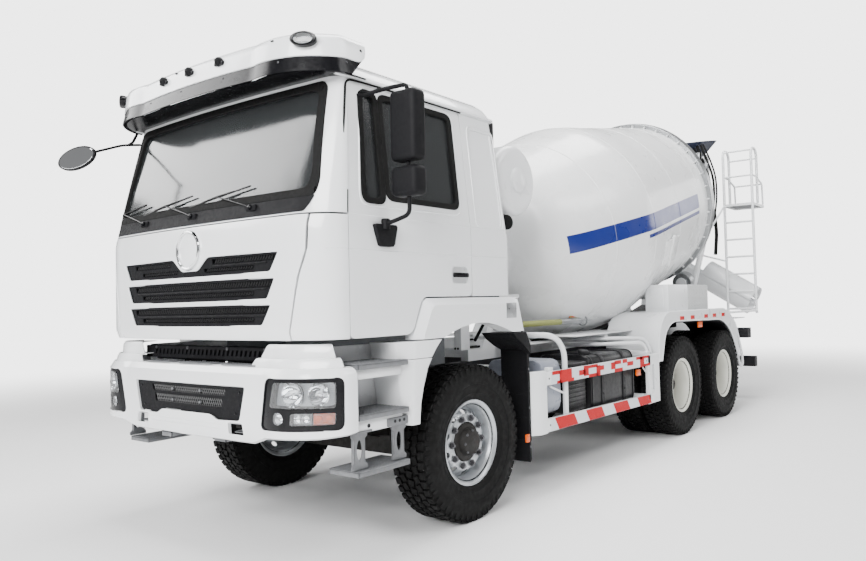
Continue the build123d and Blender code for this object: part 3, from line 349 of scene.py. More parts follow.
def standing(origin, axis):  # placement whose z runs along axis
    return Matrix.Translation(Vector(origin)) @ Vector(axis).to_track_quat("Z", "Y").to_matrix().to_4x4()


def make(name, finishes, body, ahead=frontX, sharp=35, replaces=(), edge=0.0):
    global bm
    bmesh.ops.recalc_face_normals(bm, faces=bm.faces)
    mesh = bpy.data.meshes.new(name)
    bm.to_mesh(mesh)
    bm.free()
    bm = bmesh.new()  # for the next piece
    mesh.transform(Matrix.Translation((ahead, 0, 0)))
    mesh.polygons.foreach_set("use_smooth", [True] * len(mesh.polygons))
    mesh.set_sharp_from_angle(angle=math.radians(sharp))
    for paint in finishes:
        mesh.materials.append(paint)
    piece = added(name, mesh)
    if edge:
        roundEdges(piece, edge, 40)
    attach(piece, body)
    if replaces:
        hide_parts(*replaces)
    return piece


# nodes and trees
def node(tree, kind, sockets=None, **settings):
    made = tree.nodes.new(kind)
    for key, value in settings.items():
        setattr(made, key, value)
    for key, value in (sockets or {}).items():
        if isinstance(value, bpy.types.NodeSocket):
            tree.links.new(value, made.inputs[key])
        else:
            made.inputs[key].default_value = value
    return made


def maths(tree, operation, one, two=0.0, three=0.0):
    return node(tree, "ShaderNodeMath", {0: one, 1: two, 2: three}, operation=operation).outputs[0]


def newTree(name, inputs):
    tree = bpy.data.node_groups.new(name, "GeometryNodeTree")
    for label, kind, value in list(inputs) + [("Finish", "Material", None)]:
        socket = tree.interface.new_socket(name=label, in_out="INPUT", socket_type="NodeSocket" + kind)
        if value is not None:
            socket.default_value = value
    tree.interface.new_socket(name="Geometry", in_out="OUTPUT", socket_type="NodeSocketGeometry")
    return tree, tree.nodes.new("NodeGroupInput").outputs


def endTree(tree, geometry, given):  # every tree ends in real faces with their material
    real = node(tree, "GeometryNodeRealizeInstances", {0: geometry})
    painted = node(tree, "GeometryNodeSetMaterial", {"Geometry": real.outputs[0],
        "Material": given["Finish"]})
    tree.links.new(painted.outputs[0], tree.nodes.new("NodeGroupOutput").inputs[0])
    return tree


def grown(tree, **values):
    holder = added("holder", bpy.data.meshes.new("holder"))
    modifier = holder.modifiers.new("grow", "NODES")
    modifier.node_group = tree
    for socket in tree.interface.items_tree:
        if socket.in_out == "INPUT" and socket.name in values:
            modifier[socket.identifier] = values[socket.name]
    bpy.context.view_layer.update()
    mesh = bpy.data.meshes.new_from_object(holder.evaluated_get(bpy.context.evaluated_depsgraph_get()))
    empty = holder.data
    holder.modifiers.remove(modifier)
    bpy.data.objects.remove(holder)
    bpy.data.meshes.remove(empty)
    return mesh


# camera, floor and light
camera = {
    "place": (4.0872, 4.2985, 1.529),  # ahead of the front axle, to the left, above the floor
    "turn": 35.56, "rise": 1.84, "roll": -1.49, "lens": 30.3, "shift": (-0.0721, -0.0026),
}
turn, rise, roll = (math.radians(camera[key]) for key in ("turn", "rise", "roll"))
look = Vector((-math.cos(turn) * math.cos(rise), -math.sin(turn) * math.cos(rise), math.sin(rise)))
level = look.cross(Vector((0, 0, 1))).normalized()
upright = level.cross(look)
camX = math.cos(roll) * level + math.sin(roll) * upright
camY = math.cos(roll) * upright - math.sin(roll) * level
eye = added("eye", bpy.data.cameras.new("eye"))
eye.matrix_world = Matrix.Translation(Vector(camera["place"]) + Vector((frontX, 0, 0))) @ Matrix((camX,
    camY, -look)).transposed().to_4x4()
eye.data.lens = camera["lens"]
eye.data.shift_x, eye.data.shift_y = camera["shift"]
eye.data.clip_end = 200
bpy.context.scene.camera = eye

studio = {"floor": 60.0, "sky": 0.28, "zenith": 0.34, "ground": 0.03, "backdrop": 4.0}


def softbox(name, spot, aim, size, power):
    lamp = bpy.data.lights.new(name, "AREA")
    lamp.shape, lamp.size, lamp.size_y, lamp.energy = "RECTANGLE", size[0], size[1], power
    holder = added(name, lamp)
    holder.location = spot
    holder.rotation_mode = "QUATERNION"
    holder.rotation_quaternion = (Vector(aim) - Vector(spot)).to_track_quat("-Z", "Y")


softbox("keyLight", (13.0, 3.5, 6.5), (1.5, 0, 1.6), (8, 5), 2500)
softbox("sideLight", (-1.0, 12.0, 11.0), (-1.5, 0, 1.6), (14, 3), 1000)
softbox("topLight", (0.0, 0.5, 10.5), (0, 0, 1.0), (12, 4), 1700)
softbox("screenLight", (frontX + 4.1, -6.5, 6.3), (frontX + 1.2, 0, 2.4), (5, 3.5), 420)
softbox("rearLight", (-12.0, 6.0, 5.0), (-3.0, 0, 1.8), (6, 4), 300)

world = bpy.data.worlds.new("studioWorld")
world.use_nodes = True
bpy.context.scene.world = world
sky = world.node_tree
sky.nodes.clear()
height = node(sky, "ShaderNodeSeparateXYZ",
    {0: node(sky, "ShaderNodeTexCoord").outputs["Generated"]}).outputs[2]
ramp = node(sky, "ShaderNodeValToRGB", {0: maths(sky, "MULTIPLY_ADD", height, 0.5, 0.5)})
ramp.color_ramp.elements[0].position, ramp.color_ramp.elements[0].color = 0.4, (*[studio["ground"]] * 3, 1)
ramp.color_ramp.elements[1].position, ramp.color_ramp.elements[1].color = 0.53, (*[studio["sky"]] * 3, 1)
high = ramp.color_ramp.elements.new(0.95)
high.color = (*[studio["zenith"]] * 3, 1)
glow = node(sky, "ShaderNodeBackground", {0: ramp.outputs[0], 1: 1.0})
backdrop = node(sky, "ShaderNodeBackground", {0: (1, 1, 1, 1), 1: studio["backdrop"]})
seen = node(sky, "ShaderNodeMixShader", {0: node(sky, "ShaderNodeLightPath").outputs["Is Camera Ray"],
    1: glow.outputs[0], 2: backdrop.outputs[0]})
sky.links.new(seen.outputs[0], node(sky, "ShaderNodeOutputWorld").inputs[0])


# finishes: colour drift, roughness and relief come from noise on the piece's own coordinates
def finish(name, dark, pale, rough, grain=6.0, relief=0.0, reliefGrain=120.0, shine=0.5, **shader):
    material = bpy.data.materials.new(name)
    material.use_nodes = True
    tree = material.node_tree
    tree.nodes.clear()
    place = node(tree, "ShaderNodeTexCoord").outputs["Object"]
    drift = node(tree, "ShaderNodeTexNoise", {"Vector": place, "Scale": grain, "Detail": 5.0,
        "Roughness": 0.6})
    mix = node(tree, "ShaderNodeMix", {0: drift.outputs[0], 6: (*dark, 1), 7: (*pale, 1)}, data_type="RGBA")
    wear = node(tree, "ShaderNodeTexNoise", {"Vector": place, "Scale": grain * 3.7, "Detail": 3.0})
    rub = node(tree, "ShaderNodeMapRange", {0: wear.outputs[0], 1: 0.3, 2: 0.7, 3: rough[0], 4: rough[1]})
    body = node(tree, "ShaderNodeBsdfPrincipled", {"Base Color": mix.outputs[2],
        "Roughness": rub.outputs[0], "Specular IOR Level": shine})
    for socket, value in shader.items():
        body.inputs[socket.replace("_", " ")].default_value = value
    if relief:
        bumps = node(tree, "ShaderNodeTexNoise", {"Vector": place, "Scale": reliefGrain, "Detail": 4.0})
        bump = node(tree, "ShaderNodeBump", {"Strength": 0.6, "Distance": relief,
            "Height": bumps.outputs[0]})
        tree.links.new(bump.outputs[0], body.inputs["Normal"])
    tree.links.new(body.outputs[0], node(tree, "ShaderNodeOutputMaterial").inputs[0])
    return material


def shaderOf(material):
    return next(n for n in material.node_tree.nodes if n.type == "BSDF_PRINCIPLED")


def colourOf(material):  # the mix that feeds a finish's colour
    return shaderOf(material).inputs["Base Color"].links[0].from_node


cabPaint = finish("cabPaint", (0.76, 0.775, 0.79), (0.86, 0.87, 0.88), (0.16, 0.24), 1.2, 0.0004, 420,
    Coat_Weight=0.6, Coat_Roughness=0.06)
bodyPaint = finish("bodyPaint", (0.72, 0.735, 0.75), (0.83, 0.84, 0.85), (0.25, 0.38), 1.6, 0.0006, 300,
    Coat_Weight=0.35, Coat_Roughness=0.12)
frameBlack = finish("frameBlack", (0.006, 0.006, 0.007), (0.016, 0.016, 0.018), (0.38, 0.62), 9, 0.0012,
    160, shine=0.25)
axleBlack = finish("axleBlack", (0.006, 0.006, 0.006), (0.024, 0.022, 0.02), (0.45, 0.75), 7, 0.003, 60,
    shine=0.25)
plasticBlack = finish("plasticBlack", (0.004, 0.004, 0.005), (0.009, 0.009, 0.01), (0.5, 0.66), 14, 0.0006,
    900, shine=0.12)
glossBlack = finish("glossBlack", (0.002, 0.002, 0.003), (0.005, 0.005, 0.006), (0.16, 0.28), 10, 0.0002,
    300, shine=0.22)
rubberBlack = finish("rubberBlack", (0.004, 0.004, 0.004), (0.01, 0.01, 0.01), (0.6, 0.82), 18, 0.0008, 500,
    shine=0.12)
tyreRubber = finish("tyreRubber", (0.003, 0.003, 0.003), (0.007, 0.007, 0.007), (0.6, 0.85), 8, 0.0012, 260,
    shine=0.14)
rimSilver = finish("rimSilver", (0.38, 0.4, 0.42), (0.52, 0.54, 0.56), (0.28, 0.42), 11, 0.0006, 300,
    Metallic=0.65)
rimCream = finish("rimCream", (0.6, 0.6, 0.53), (0.72, 0.72, 0.65), (0.3, 0.5), 9, 0.0008, 200)
nutSteel = finish("nutSteel", (0.05, 0.05, 0.055), (0.16, 0.16, 0.17), (0.25, 0.45), 30, 0.0004, 400,
    Metallic=0.8)
steelGrey = finish("steelGrey", (0.3, 0.31, 0.32), (0.47, 0.48, 0.49), (0.25, 0.45), 12, 0.0008, 240,
    Metallic=0.9)
chrome = finish("chrome", (0.78, 0.79, 0.8), (0.9, 0.91, 0.92), (0.04, 0.1), 6, Metallic=1.0)
zincPlate = finish("zincPlate", (0.1, 0.105, 0.11), (0.22, 0.225, 0.235), (0.4, 0.6), 25, 0.0012, 180,
    Metallic=0.3)
engineGrey = finish("engineGrey", (0.1, 0.11, 0.12), (0.2, 0.21, 0.22), (0.5, 0.75), 8, 0.003, 70)
tankBlack = finish("tankBlack", (0.003, 0.003, 0.004), (0.007, 0.007, 0.008), (0.3, 0.45), 8, 0.0008, 200,
    shine=0.3)
tankGrey = finish("tankGrey", (0.2, 0.22, 0.27), (0.3, 0.32, 0.37), (0.25, 0.4), 6, 0.0008, 200)
platePale = finish("platePale", (0.46, 0.47, 0.47), (0.58, 0.59, 0.59), (0.4, 0.6), 12, 0.001, 200)
hopperBlue = finish("hopperBlue", (0.008, 0.012, 0.03), (0.018, 0.026, 0.055), (0.25, 0.42), 7, 0.0008, 200)
interiorGrey = finish("interiorGrey", (0.012, 0.012, 0.013), (0.025, 0.025, 0.026), (0.5, 0.7), 20, 0.0008,
    600, shine=0.25)
seatCloth = finish("seatCloth", (0.014, 0.014, 0.017), (0.032, 0.032, 0.037), (0.75, 0.92), 40, 0.0015, 900,
    Sheen_Weight=0.35)
tapeRed = finish("tapeRed", (0.4, 0.003, 0.006), (0.56, 0.008, 0.012), (0.45, 0.62), 30, 0.0005, 500,
    shine=0.2)
tapeSilver = finish("tapeSilver", (0.6, 0.62, 0.66), (0.74, 0.76, 0.8), (0.45, 0.62), 30, 0.0005, 500,
    shine=0.2)
amber = finish("amber", (0.62, 0.07, 0.003), (0.78, 0.13, 0.008), (0.12, 0.25), 30, 0.0004, 300)
lampRed = finish("lampRed", (0.42, 0.008, 0.01), (0.6, 0.015, 0.02), (0.12, 0.25), 30, 0.0004, 300)
hoseGreen = finish("hoseGreen", (0.2, 0.22, 0.04), (0.34, 0.36, 0.1), (0.4, 0.6), 20, 0.0008, 300)
valveGreen = finish("valveGreen", (0.02, 0.18, 0.04), (0.05, 0.32, 0.08), (0.3, 0.5), 20, 0.0006, 300)
lampGlass = finish("lampGlass", (0.9, 0.92, 0.94), (0.96, 0.97, 0.98), (0.02, 0.05), 5,
    Transmission_Weight=0.96, IOR=1.45)
windowGlass = finish("windowGlass", (0.1, 0.11, 0.115), (0.12, 0.13, 0.135), (0.11, 0.15), 2,
    Transmission_Weight=0.85, IOR=1.7)
mirrorGlass = finish("mirrorGlass", (0.7, 0.72, 0.74), (0.82, 0.83, 0.85), (0.02, 0.05), 5, Metallic=1.0)
floorPale = finish("floorPale", (0.9, 0.9, 0.9), (0.93, 0.93, 0.93), (0.7, 0.85), 0.4, shine=0.2)
tree = floorPale.node_tree  # the floor runs out into the pale backdrop, for the camera only
far = node(tree, "ShaderNodeVectorMath", {0: node(tree, "ShaderNodeTexCoord").outputs["Object"]},
    operation="LENGTH").outputs["Value"]
share = node(tree, "ShaderNodeMapRange", {0: far, 1: 6.5, 2: 17.0},
    interpolation_type="SMOOTHSTEP").outputs[0]
share = maths(tree, "MULTIPLY", share, node(tree, "ShaderNodeLightPath").outputs["Is Camera Ray"])
glow = node(tree, "ShaderNodeEmission", {0: (1, 1, 1, 1), 1: studio["backdrop"]})
blend = node(tree, "ShaderNodeMixShader", {0: share, 1: shaderOf(floorPale).outputs[0], 2: glow.outputs[0]})
tree.links.new(blend.outputs[0], next(n for n in tree.nodes if n.type == "OUTPUT_MATERIAL").inputs[0])
print("finishes mixed")

addBox((-studio["floor"], -studio["floor"], -0.05), (studio["floor"], studio["floor"], 0), 0)
floorMesh = bpy.data.meshes.new("studioFloor")
bm.to_mesh(floorMesh)
bm.free()
bm = bmesh.new()
floorMesh.materials.append(floorPale)
added("studioFloor", floorMesh)

# node trees for what repeats
ringTree, given = newTree("ringOfBlocks", [  # blocks round a circle about z, each turned to face outwards
    ("Count", "Int", 10), ("Radius", "Float", 0.2), ("Block", "Vector", (0.02, 0.03, 0.04)),
    ("Lift", "Float", 0.0), ("Phase", "Float", 0.0), ("Skew", "Float", 0.0)])
circle = node(ringTree, "GeometryNodeMeshCircle", {"Vertices": given["Count"], "Radius": given["Radius"]})
index = node(ringTree, "GeometryNodeInputIndex").outputs[0]
share = maths(ringTree, "DIVIDE", index, given["Count"])
around = maths(ringTree, "MULTIPLY_ADD", share, 2 * math.pi, given["Phase"])
spot = node(ringTree, "ShaderNodeCombineXYZ",
    {0: maths(ringTree, "MULTIPLY", maths(ringTree, "COSINE", around), given["Radius"]),
    1: maths(ringTree, "MULTIPLY", maths(ringTree, "SINE", around), given["Radius"]), 2: given["Lift"]})
placed = node(ringTree, "GeometryNodeSetPosition", {0: circle.outputs[0], "Position": spot.outputs[0]})
block = node(ringTree, "GeometryNodeMeshCube", {"Size": given["Block"]})
facing = node(ringTree, "ShaderNodeCombineXYZ", {0: given["Skew"], 1: 0.0, 2: around})
blocks = node(ringTree, "GeometryNodeInstanceOnPoints", {
    "Points": placed.outputs[0], "Instance": block.outputs[0], "Rotation": facing.outputs[0]})
endTree(ringTree, blocks.outputs[0], given)

nutTree, given = newTree("ringOfNuts", [  # hexagon nuts on washers with stud ends, round a circle about z
    ("Count", "Int", 10), ("Radius", "Float", 0.1675), ("Across", "Float", 0.019), ("High", "Float", 0.022),
    ("Stud", "Float", 0.011)])
circle = node(nutTree, "GeometryNodeMeshCircle", {"Vertices": given["Count"], "Radius": given["Radius"]})
washer = node(nutTree, "GeometryNodeMeshCylinder", {
    "Vertices": 20, "Radius": maths(nutTree, "MULTIPLY", given["Across"], 1.3), "Depth": 0.006})
nut = node(nutTree, "GeometryNodeMeshCylinder", {"Vertices": 6, "Radius": given["Across"],
    "Depth": given["High"]})
stud = node(nutTree, "GeometryNodeMeshCylinder", {
    "Vertices": 10, "Radius": given["Stud"], "Depth": maths(nutTree, "MULTIPLY", given["High"], 1.9)})
one = node(nutTree, "GeometryNodeJoinGeometry")
for part in (washer, nut, stud):
    nutTree.links.new(part.outputs[0], one.inputs[0])
nuts = node(nutTree, "GeometryNodeInstanceOnPoints", {"Points": circle.outputs[0],
    "Instance": one.outputs[0]})
endTree(nutTree, nuts.outputs[0], given)

rowTree, given = newTree("rowOfBlocks", [  # blocks in rows and columns, a step apart
    ("Count", "Int", 5), ("Rows", "Int", 1), ("Step", "Vector", (0.1, 0, 0)),
    ("Next", "Vector", (0, 0.1, 0)), ("Start", "Vector", (0, 0, 0)),
    ("Block", "Vector", (0.02, 0.02, 0.02)), ("Turn", "Vector", (0, 0, 0))])
points = node(rowTree, "GeometryNodeMeshLine", {
    "Count": maths(rowTree, "MULTIPLY", given["Count"], given["Rows"]), "Start Location": given["Start"]})
index = node(rowTree, "GeometryNodeInputIndex").outputs[0]
column = maths(rowTree, "MODULO", index, given["Count"])
row = maths(rowTree, "FLOOR", maths(rowTree, "DIVIDE", index, given["Count"]))
along = node(rowTree, "ShaderNodeVectorMath", {0: given["Step"], "Scale": column}, operation="SCALE")
sideways = node(rowTree, "ShaderNodeVectorMath", {0: given["Next"], "Scale": row}, operation="SCALE")
both = node(rowTree, "ShaderNodeVectorMath", {0: along.outputs[0], 1: sideways.outputs[0]}, operation="ADD")
spot = node(rowTree, "ShaderNodeVectorMath", {0: both.outputs[0], 1: given["Start"]}, operation="ADD")
placed = node(rowTree, "GeometryNodeSetPosition", {0: points.outputs[0], "Position": spot.outputs[0]})
block = node(rowTree, "GeometryNodeMeshCube", {"Size": given["Block"]})
blocks = node(rowTree, "GeometryNodeInstanceOnPoints", {
    "Points": placed.outputs[0], "Instance": block.outputs[0], "Rotation": given["Turn"]})
endTree(rowTree, blocks.outputs[0], given)
print("node trees drawn")


# wheels
tyre = {
    "radius": wheelHigh, "width": 0.31, "treadHalf": 0.137, "groove": 0.015, "seat": 0.262,
        "rimHalf": 0.108,
    "blocks": 52, "tread": (  # place across the tread, block across, block round, phase, skew
        (-0.112, 0.044, 0.046, 0.0, 0.0), (-0.06, 0.04, 0.05, 0.5, 0.3), (0.0, 0.042, 0.05, 0.0, -0.3),
        (0.06, 0.04, 0.05, 0.5, 0.3), (0.112, 0.044, 0.046, 0.0, 0.0)),
}


def addTyre(x, y):
    r, half = tyre["radius"], tyre["width"] / 2
    deep = r - tyre["groove"]
    shoulder = [(tyre["treadHalf"] - 0.016, deep), (tyre["treadHalf"] - 0.002, deep - 0.004),
        (tyre["treadHalf"] + 0.004, deep - 0.02)]
    wall = [(half - 0.008, r * 0.9), (half - 0.002, r * 0.83), (half, r * 0.76), (half - 0.001, r * 0.755),
        (half - 0.005, r * 0.75), (half - 0.006, r * 0.7), (half - 0.013, r * 0.64),
        (half - 0.012, r * 0.635), (half - 0.018, r * 0.625), (half - 0.028, r * 0.585),
        (half - 0.03, r * 0.56), (half - 0.04, r * 0.548), (tyre["rimHalf"], tyre["seat"] + 0.01)]
    side = shoulder + wall
    profile = [(-a, b) for a, b in reversed(side)] + [(0, deep)] + side
    profile += [(tyre["rimHalf"] - 0.01, tyre["seat"]), (-tyre["rimHalf"] + 0.01, tyre["seat"])]
    addLathe(profile, (x, y, wheelHigh), (0, 1, 0), 72, 0, closed=True)
    place = standing((x, y, wheelHigh), (0, 1, 0))
    for across, wide, tall, phase, skew in tyre["tread"]:
        mesh = grown(ringTree, Count=tyre["blocks"], Radius=r - tyre["groove"] / 2 - 0.0006,
            Block=(tyre["groove"], tall, wide), Lift=across, Phase=phase * 2 * math.pi / tyre["blocks"],
            Skew=skew, Finish=tyreRubber)
        addMesh(mesh, place)
    for way in (-1, 1):  # lugs that run down from the shoulders
        mesh = grown(ringTree, Count=tyre["blocks"], Radius=r - 0.047, Block=(0.055, 0.022, 0.01),
            Lift=way * (half - 0.011), Phase=0.03, Skew=0.0, Finish=tyreRubber)
        addMesh(mesh, place)


frontRim = {
    "lip": 0.298, "plate": 0.06, "dish": 0.004, "centre": 0.14, "edge": 0.246, "holes": 10, "holeAt": 0.211,
    "holeSize": (0.019, 0.025),
}
rearRim = dict(frontRim, plate=-0.163, dish=-0.08)


def dished(rim, radius):  # how far out the wheel's disc stands at a radius
    share = min(1, max(0, (radius - 0.19) / (rim["edge"] - 0.19)))
    smooth = share * share * (3 - 2 * share)
    return rim["plate"] + (rim["dish"] - rim["plate"]) * smooth


def addDisc(rim, x, y, out, paint):
    turns = [2 * math.pi * k / 48 for k in range(48)]
    outline = [(rim["edge"] * math.cos(t), rim["edge"] * math.sin(t)) for t in turns]
    holes = [[(rim["centre"] * math.cos(t), rim["centre"] * math.sin(t)) for t in turns[::2]]]
    for k in range(rim["holes"]):
        turned = 2 * math.pi * (k + 0.5) / rim["holes"]
        oval = [(rim["holeSize"][0] * math.cos(t), rim["holeSize"][1] * math.sin(t)) for t in turns[::4]]
        holes.append([((rim["holeAt"] + a) * math.cos(turned) - b * math.sin(turned),
            (rim["holeAt"] + a) * math.sin(turned) + b * math.cos(turned)) for a, b in oval])

    def face(lift):
        return lambda a, b: Vector((x + a, y + out * (dished(rim, math.hypot(a, b)) + lift), wheelHigh + b))
    addPanel(outline, holes, face(0.006), face(-0.006), 0.018, paint)


def addBarrel(rim, x, y, paint):
    lip, half = rim["lip"], tyre["rimHalf"]
    outer = [(half + 0.006, lip - 0.004), (half + 0.01, lip), (half + 0.015, lip),
        (half + 0.017, lip - 0.006), (half + 0.014, lip - 0.014), (half - 0.002, lip - 0.028),
        (half - 0.016, lip - 0.042), (half - 0.04, rim["edge"] + 0.004), (half - 0.06, rim["edge"])]
    inner = [(half - 0.06, rim["edge"] + 0.01), (half - 0.02, tyre["seat"] + 0.001),
        (half, tyre["seat"] + 0.008)]
    profile = outer + [(-a, b) for a, b in reversed(outer)] + [(-a, b)
        for a, b in inner] + list(reversed(inner))
    addLathe(profile, (x, y, wheelHigh), (0, 1, 0), 72, paint, closed=True)


frontHub = ((-0.09, 0), (-0.09, 0.13), (0.052, 0.139), (0.064, 0.139), (0.074, 0.132), (0.078, 0.118),
    (0.082, 0.1), (0.118, 0.092), (0.126, 0.086), (0.131, 0.074), (0.131, 0))
rearHub = ((-0.28, 0), (-0.28, 0.13), (-0.175, 0.138), (-0.158, 0.138), (-0.15, 0.126), (-0.06, 0.112),
    (-0.03, 0.11), (-0.024, 0.104), (-0.022, 0.07), (0.008, 0.06), (0.014, 0.05), (0.014, 0))
for side, out in sides:
    y = (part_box("front_%s_tyre" % side)[0].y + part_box("front_%s_tyre" % side)[1].y) / 2
    addTyre(frontX, y)
    make("frontTyre." + side, [tyreRubber], "wheel_front_" + side, 0,
        replaces=["front_%s_tyre" % side])
    addDisc(frontRim, frontX, y, out, 0)
    addBarrel(frontRim, frontX, y, 0)
    addLathe(frontHub, (frontX, y, wheelHigh), (0, out, 0), 40, 1)
    addMesh(grown(nutTree, Finish=nutSteel), standing((frontX, y + out * 0.078, wheelHigh), (0, out, 0)), 2)
    capNuts = grown(nutTree, Count=8, Radius=0.08, Across=0.009, High=0.008, Stud=0.004, Finish=nutSteel)
    addMesh(capNuts, standing((frontX, y + out * 0.125, wheelHigh), (0, out, 0)), 2)
    addTube([(frontX + 0.02, y + out * 0.05, wheelHigh + 0.232), (frontX + 0.03, y + out * 0.098,
        wheelHigh + 0.225)], 0.005, 0, 8, 2)
    make("frontRim." + side, [rimSilver, axleBlack, nutSteel], "wheel_front_" + side, 0,
        replaces=["front_%s_rim" % side])
    for place, x in (("middle", middleX), ("rear", rearX)):
        low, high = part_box("%s_%s_tyres" % (place, side))
        near, far = low.y + tyre["width"] / 2, high.y - tyre["width"] / 2
        outer, inner = (far, near) if out > 0 else (near, far)
        addTyre(x, outer)
        addTyre(x, inner)
        make("%sTyres.%s" % (place, side), [tyreRubber], "wheel_%s_%s" % (place, side), 0,
            replaces=["%s_%s_tyres" % (place, side)])
        addDisc(rearRim, x, outer, out, 0)
        addBarrel(rearRim, x, outer, 0)
        addBarrel(rearRim, x, inner, 0)
        addDisc(rearRim, x, inner, -out, 0)
        addLathe(rearHub, (x, outer, wheelHigh), (0, out, 0), 40, 1)
        addMesh(grown(nutTree, Finish=nutSteel), standing((x, outer - out * 0.15, wheelHigh), (0, out, 0)),
            2)
        shaftNuts = grown(nutTree, Count=10, Radius=0.092, Across=0.01, High=0.01, Stud=0.005,
            Finish=nutSteel)
        addMesh(shaftNuts, standing((x, outer - out * 0.02, wheelHigh), (0, out, 0)), 2)
        make("%sRims.%s" % (place, side), [rimCream, axleBlack, nutSteel], "wheel_%s_%s" % (place, side),
            0, replaces=["%s_%s_rims" % (place, side)])
print("wheels made")

# drum: a turned shell that follows a radius curve, with its ring, seams and stripes
drum = {
    "root": 3.575, "wall": 0.008, "steps": 150, "round": 128,
    "form": (  # distance along the axis, radius
        (0.8, 0.27), (0.86, 0.275), (0.862, 0.33), (0.895, 0.48), (0.96, 0.65), (1.084, 0.8), (1.3, 0.935),
        (1.7, 1.055), (2.05, 1.135), (2.403, 1.183), (3.0, 1.149), (3.6, 1.115), (4.135, 1.085),
        (4.45, 1.068), (4.7, 1.035), (5.2, 0.792), (5.75, 0.52)),
    "seams": (1.7, 2.403, 3.27, 4.135, 4.7), "ringAt": 4.5, "ringWide": 0.11,
}
drumLine = Vector(joint("drum_spin")["axis"]).normalized()
drumPin = pin("drum_spin")
drumRoot = drumPin + drumLine * (((middleX + rearX) / 2 + drum["root"] - drumPin.x) / drumLine.x)
first, last = drum["form"][0][0], drum["form"][-1][0]
widest = max(radius for _, radius in drum["form"])

drumTree, given = newTree("turnedShell", [("Length", "Float", last - first), ("Widest", "Float", widest),
    ("Steps", "Int", 100), ("Round", "Int", 96)])
net = node(drumTree, "GeometryNodeMeshGrid", {"Size X": 1.0, "Size Y": 1.0, "Vertices X": given["Steps"],
    "Vertices Y": given["Round"]})
flat = node(drumTree, "ShaderNodeSeparateXYZ", {0: node(drumTree, "GeometryNodeInputPosition").outputs[0]})
share = maths(drumTree, "ADD", flat.outputs[0], 0.5)
curve = node(drumTree, "ShaderNodeFloatCurve", {"Value": share})
points = curve.mapping.curves[0].points
for along, radius in drum["form"]:
    where = ((along - first) / (last - first), radius / widest)
    if along == first:
        points[0].location = where
    elif along == last:
        points[len(points) - 1].location = where
    else:
        points.new(*where)
for point in points:
    point.handle_type = "AUTO_CLAMPED"
curve.mapping.update()
reach = maths(drumTree, "MULTIPLY", curve.outputs[0], given["Widest"])
angle = maths(drumTree, "MULTIPLY", flat.outputs[1], 2 * math.pi)
turned = node(drumTree, "ShaderNodeCombineXYZ",
    {0: maths(drumTree, "MULTIPLY", maths(drumTree, "COSINE", angle), reach), 1: maths(drumTree, "MULTIPLY",
    maths(drumTree, "SINE", angle), reach), 2: maths(drumTree, "MULTIPLY", share, given["Length"])})
shell = node(drumTree, "GeometryNodeSetPosition", {0: net.outputs[0], "Position": turned.outputs[0]})
joined = node(drumTree, "GeometryNodeMergeByDistance", {0: shell.outputs[0], "Distance": 0.0005})
endTree(drumTree, joined.outputs[0], given)

bladeTree, given = newTree("spiralBlade", [  # a ribbon that winds forward inside the mouth
    ("Length", "Float", 1.0), ("Pitch", "Float", 0.9), ("Outer Start", "Float", 1.0),
    ("Outer End", "Float", 0.5), ("Deep", "Float", 0.28), ("Phase", "Float", 0.0)])
net = node(bladeTree, "GeometryNodeMeshGrid", {"Size X": 1.0, "Size Y": 1.0, "Vertices X": 90,
    "Vertices Y": 5})
flat = node(bladeTree, "ShaderNodeSeparateXYZ",
    {0: node(bladeTree, "GeometryNodeInputPosition").outputs[0]})
share = maths(bladeTree, "ADD", flat.outputs[0], 0.5)
along = maths(bladeTree, "MULTIPLY", share, given["Length"])
turns = maths(bladeTree, "MULTIPLY_ADD", maths(bladeTree, "DIVIDE", along, given["Pitch"]), 2 * math.pi,
    given["Phase"])
outside = node(bladeTree, "ShaderNodeMapRange", {0: share, 3: given["Outer Start"],
    4: given["Outer End"]}).outputs[0]
radius = maths(bladeTree, "SUBTRACT", outside, maths(bladeTree, "MULTIPLY",
    maths(bladeTree, "ADD", flat.outputs[1], 0.5), given["Deep"]))
spot = node(bladeTree, "ShaderNodeCombineXYZ",
    {0: maths(bladeTree, "MULTIPLY", maths(bladeTree, "COSINE", turns), radius),
    1: maths(bladeTree, "MULTIPLY", maths(bladeTree, "SINE", turns), radius), 2: along})
blade = node(bladeTree, "GeometryNodeSetPosition", {0: net.outputs[0], "Position": spot.outputs[0]})
endTree(bladeTree, blade.outputs[0], given)


def stripedDrum():  # white enamel with a plain double band along each side, read in the drum's own turn
    material = finish("drumPaint", (0.76, 0.77, 0.775), (0.86, 0.865, 0.865), (0.22, 0.36), 0.9, 0.001, 16,
        Coat_Weight=0.3, Coat_Roughness=0.12)
    tree = material.node_tree
    paint = colourOf(material)
    mapping = node(tree, "ShaderNodeMapping", {
        "Vector": node(tree, "ShaderNodeTexCoord").outputs["Object"], "Location": drumRoot,
        "Rotation": drumLine.to_track_quat("X", "Z").to_euler()}, vector_type="TEXTURE")
    part = node(tree, "ShaderNodeSeparateXYZ", {0: mapping.outputs[0]})
    x, y, z = part.outputs

    def between(value, low, high):
        return maths(tree, "MULTIPLY", maths(tree, "GREATER_THAN", value, low), maths(tree, "LESS_THAN",
            value, high))
    wide = maths(tree, "MULTIPLY", between(z, stripe["wide"][0], stripe["wide"][1]),
        between(x, *stripe["wideRun"]))
    thin = maths(tree, "MULTIPLY", between(z, stripe["thin"][0], stripe["thin"][1]),
        between(x, *stripe["thinRun"]))
    chosen = maths(tree, "MULTIPLY", maths(tree, "MAXIMUM", wide, thin), maths(tree, "GREATER_THAN",
        maths(tree, "ABSOLUTE", y), 0.6))
    blue = node(tree, "ShaderNodeMix", {0: chosen, 6: paint.outputs[2], 7: (*stripe["blue"], 1)},
        data_type="RGBA")
    tree.links.new(blue.outputs[2], shaderOf(material).inputs["Base Color"])
    return material


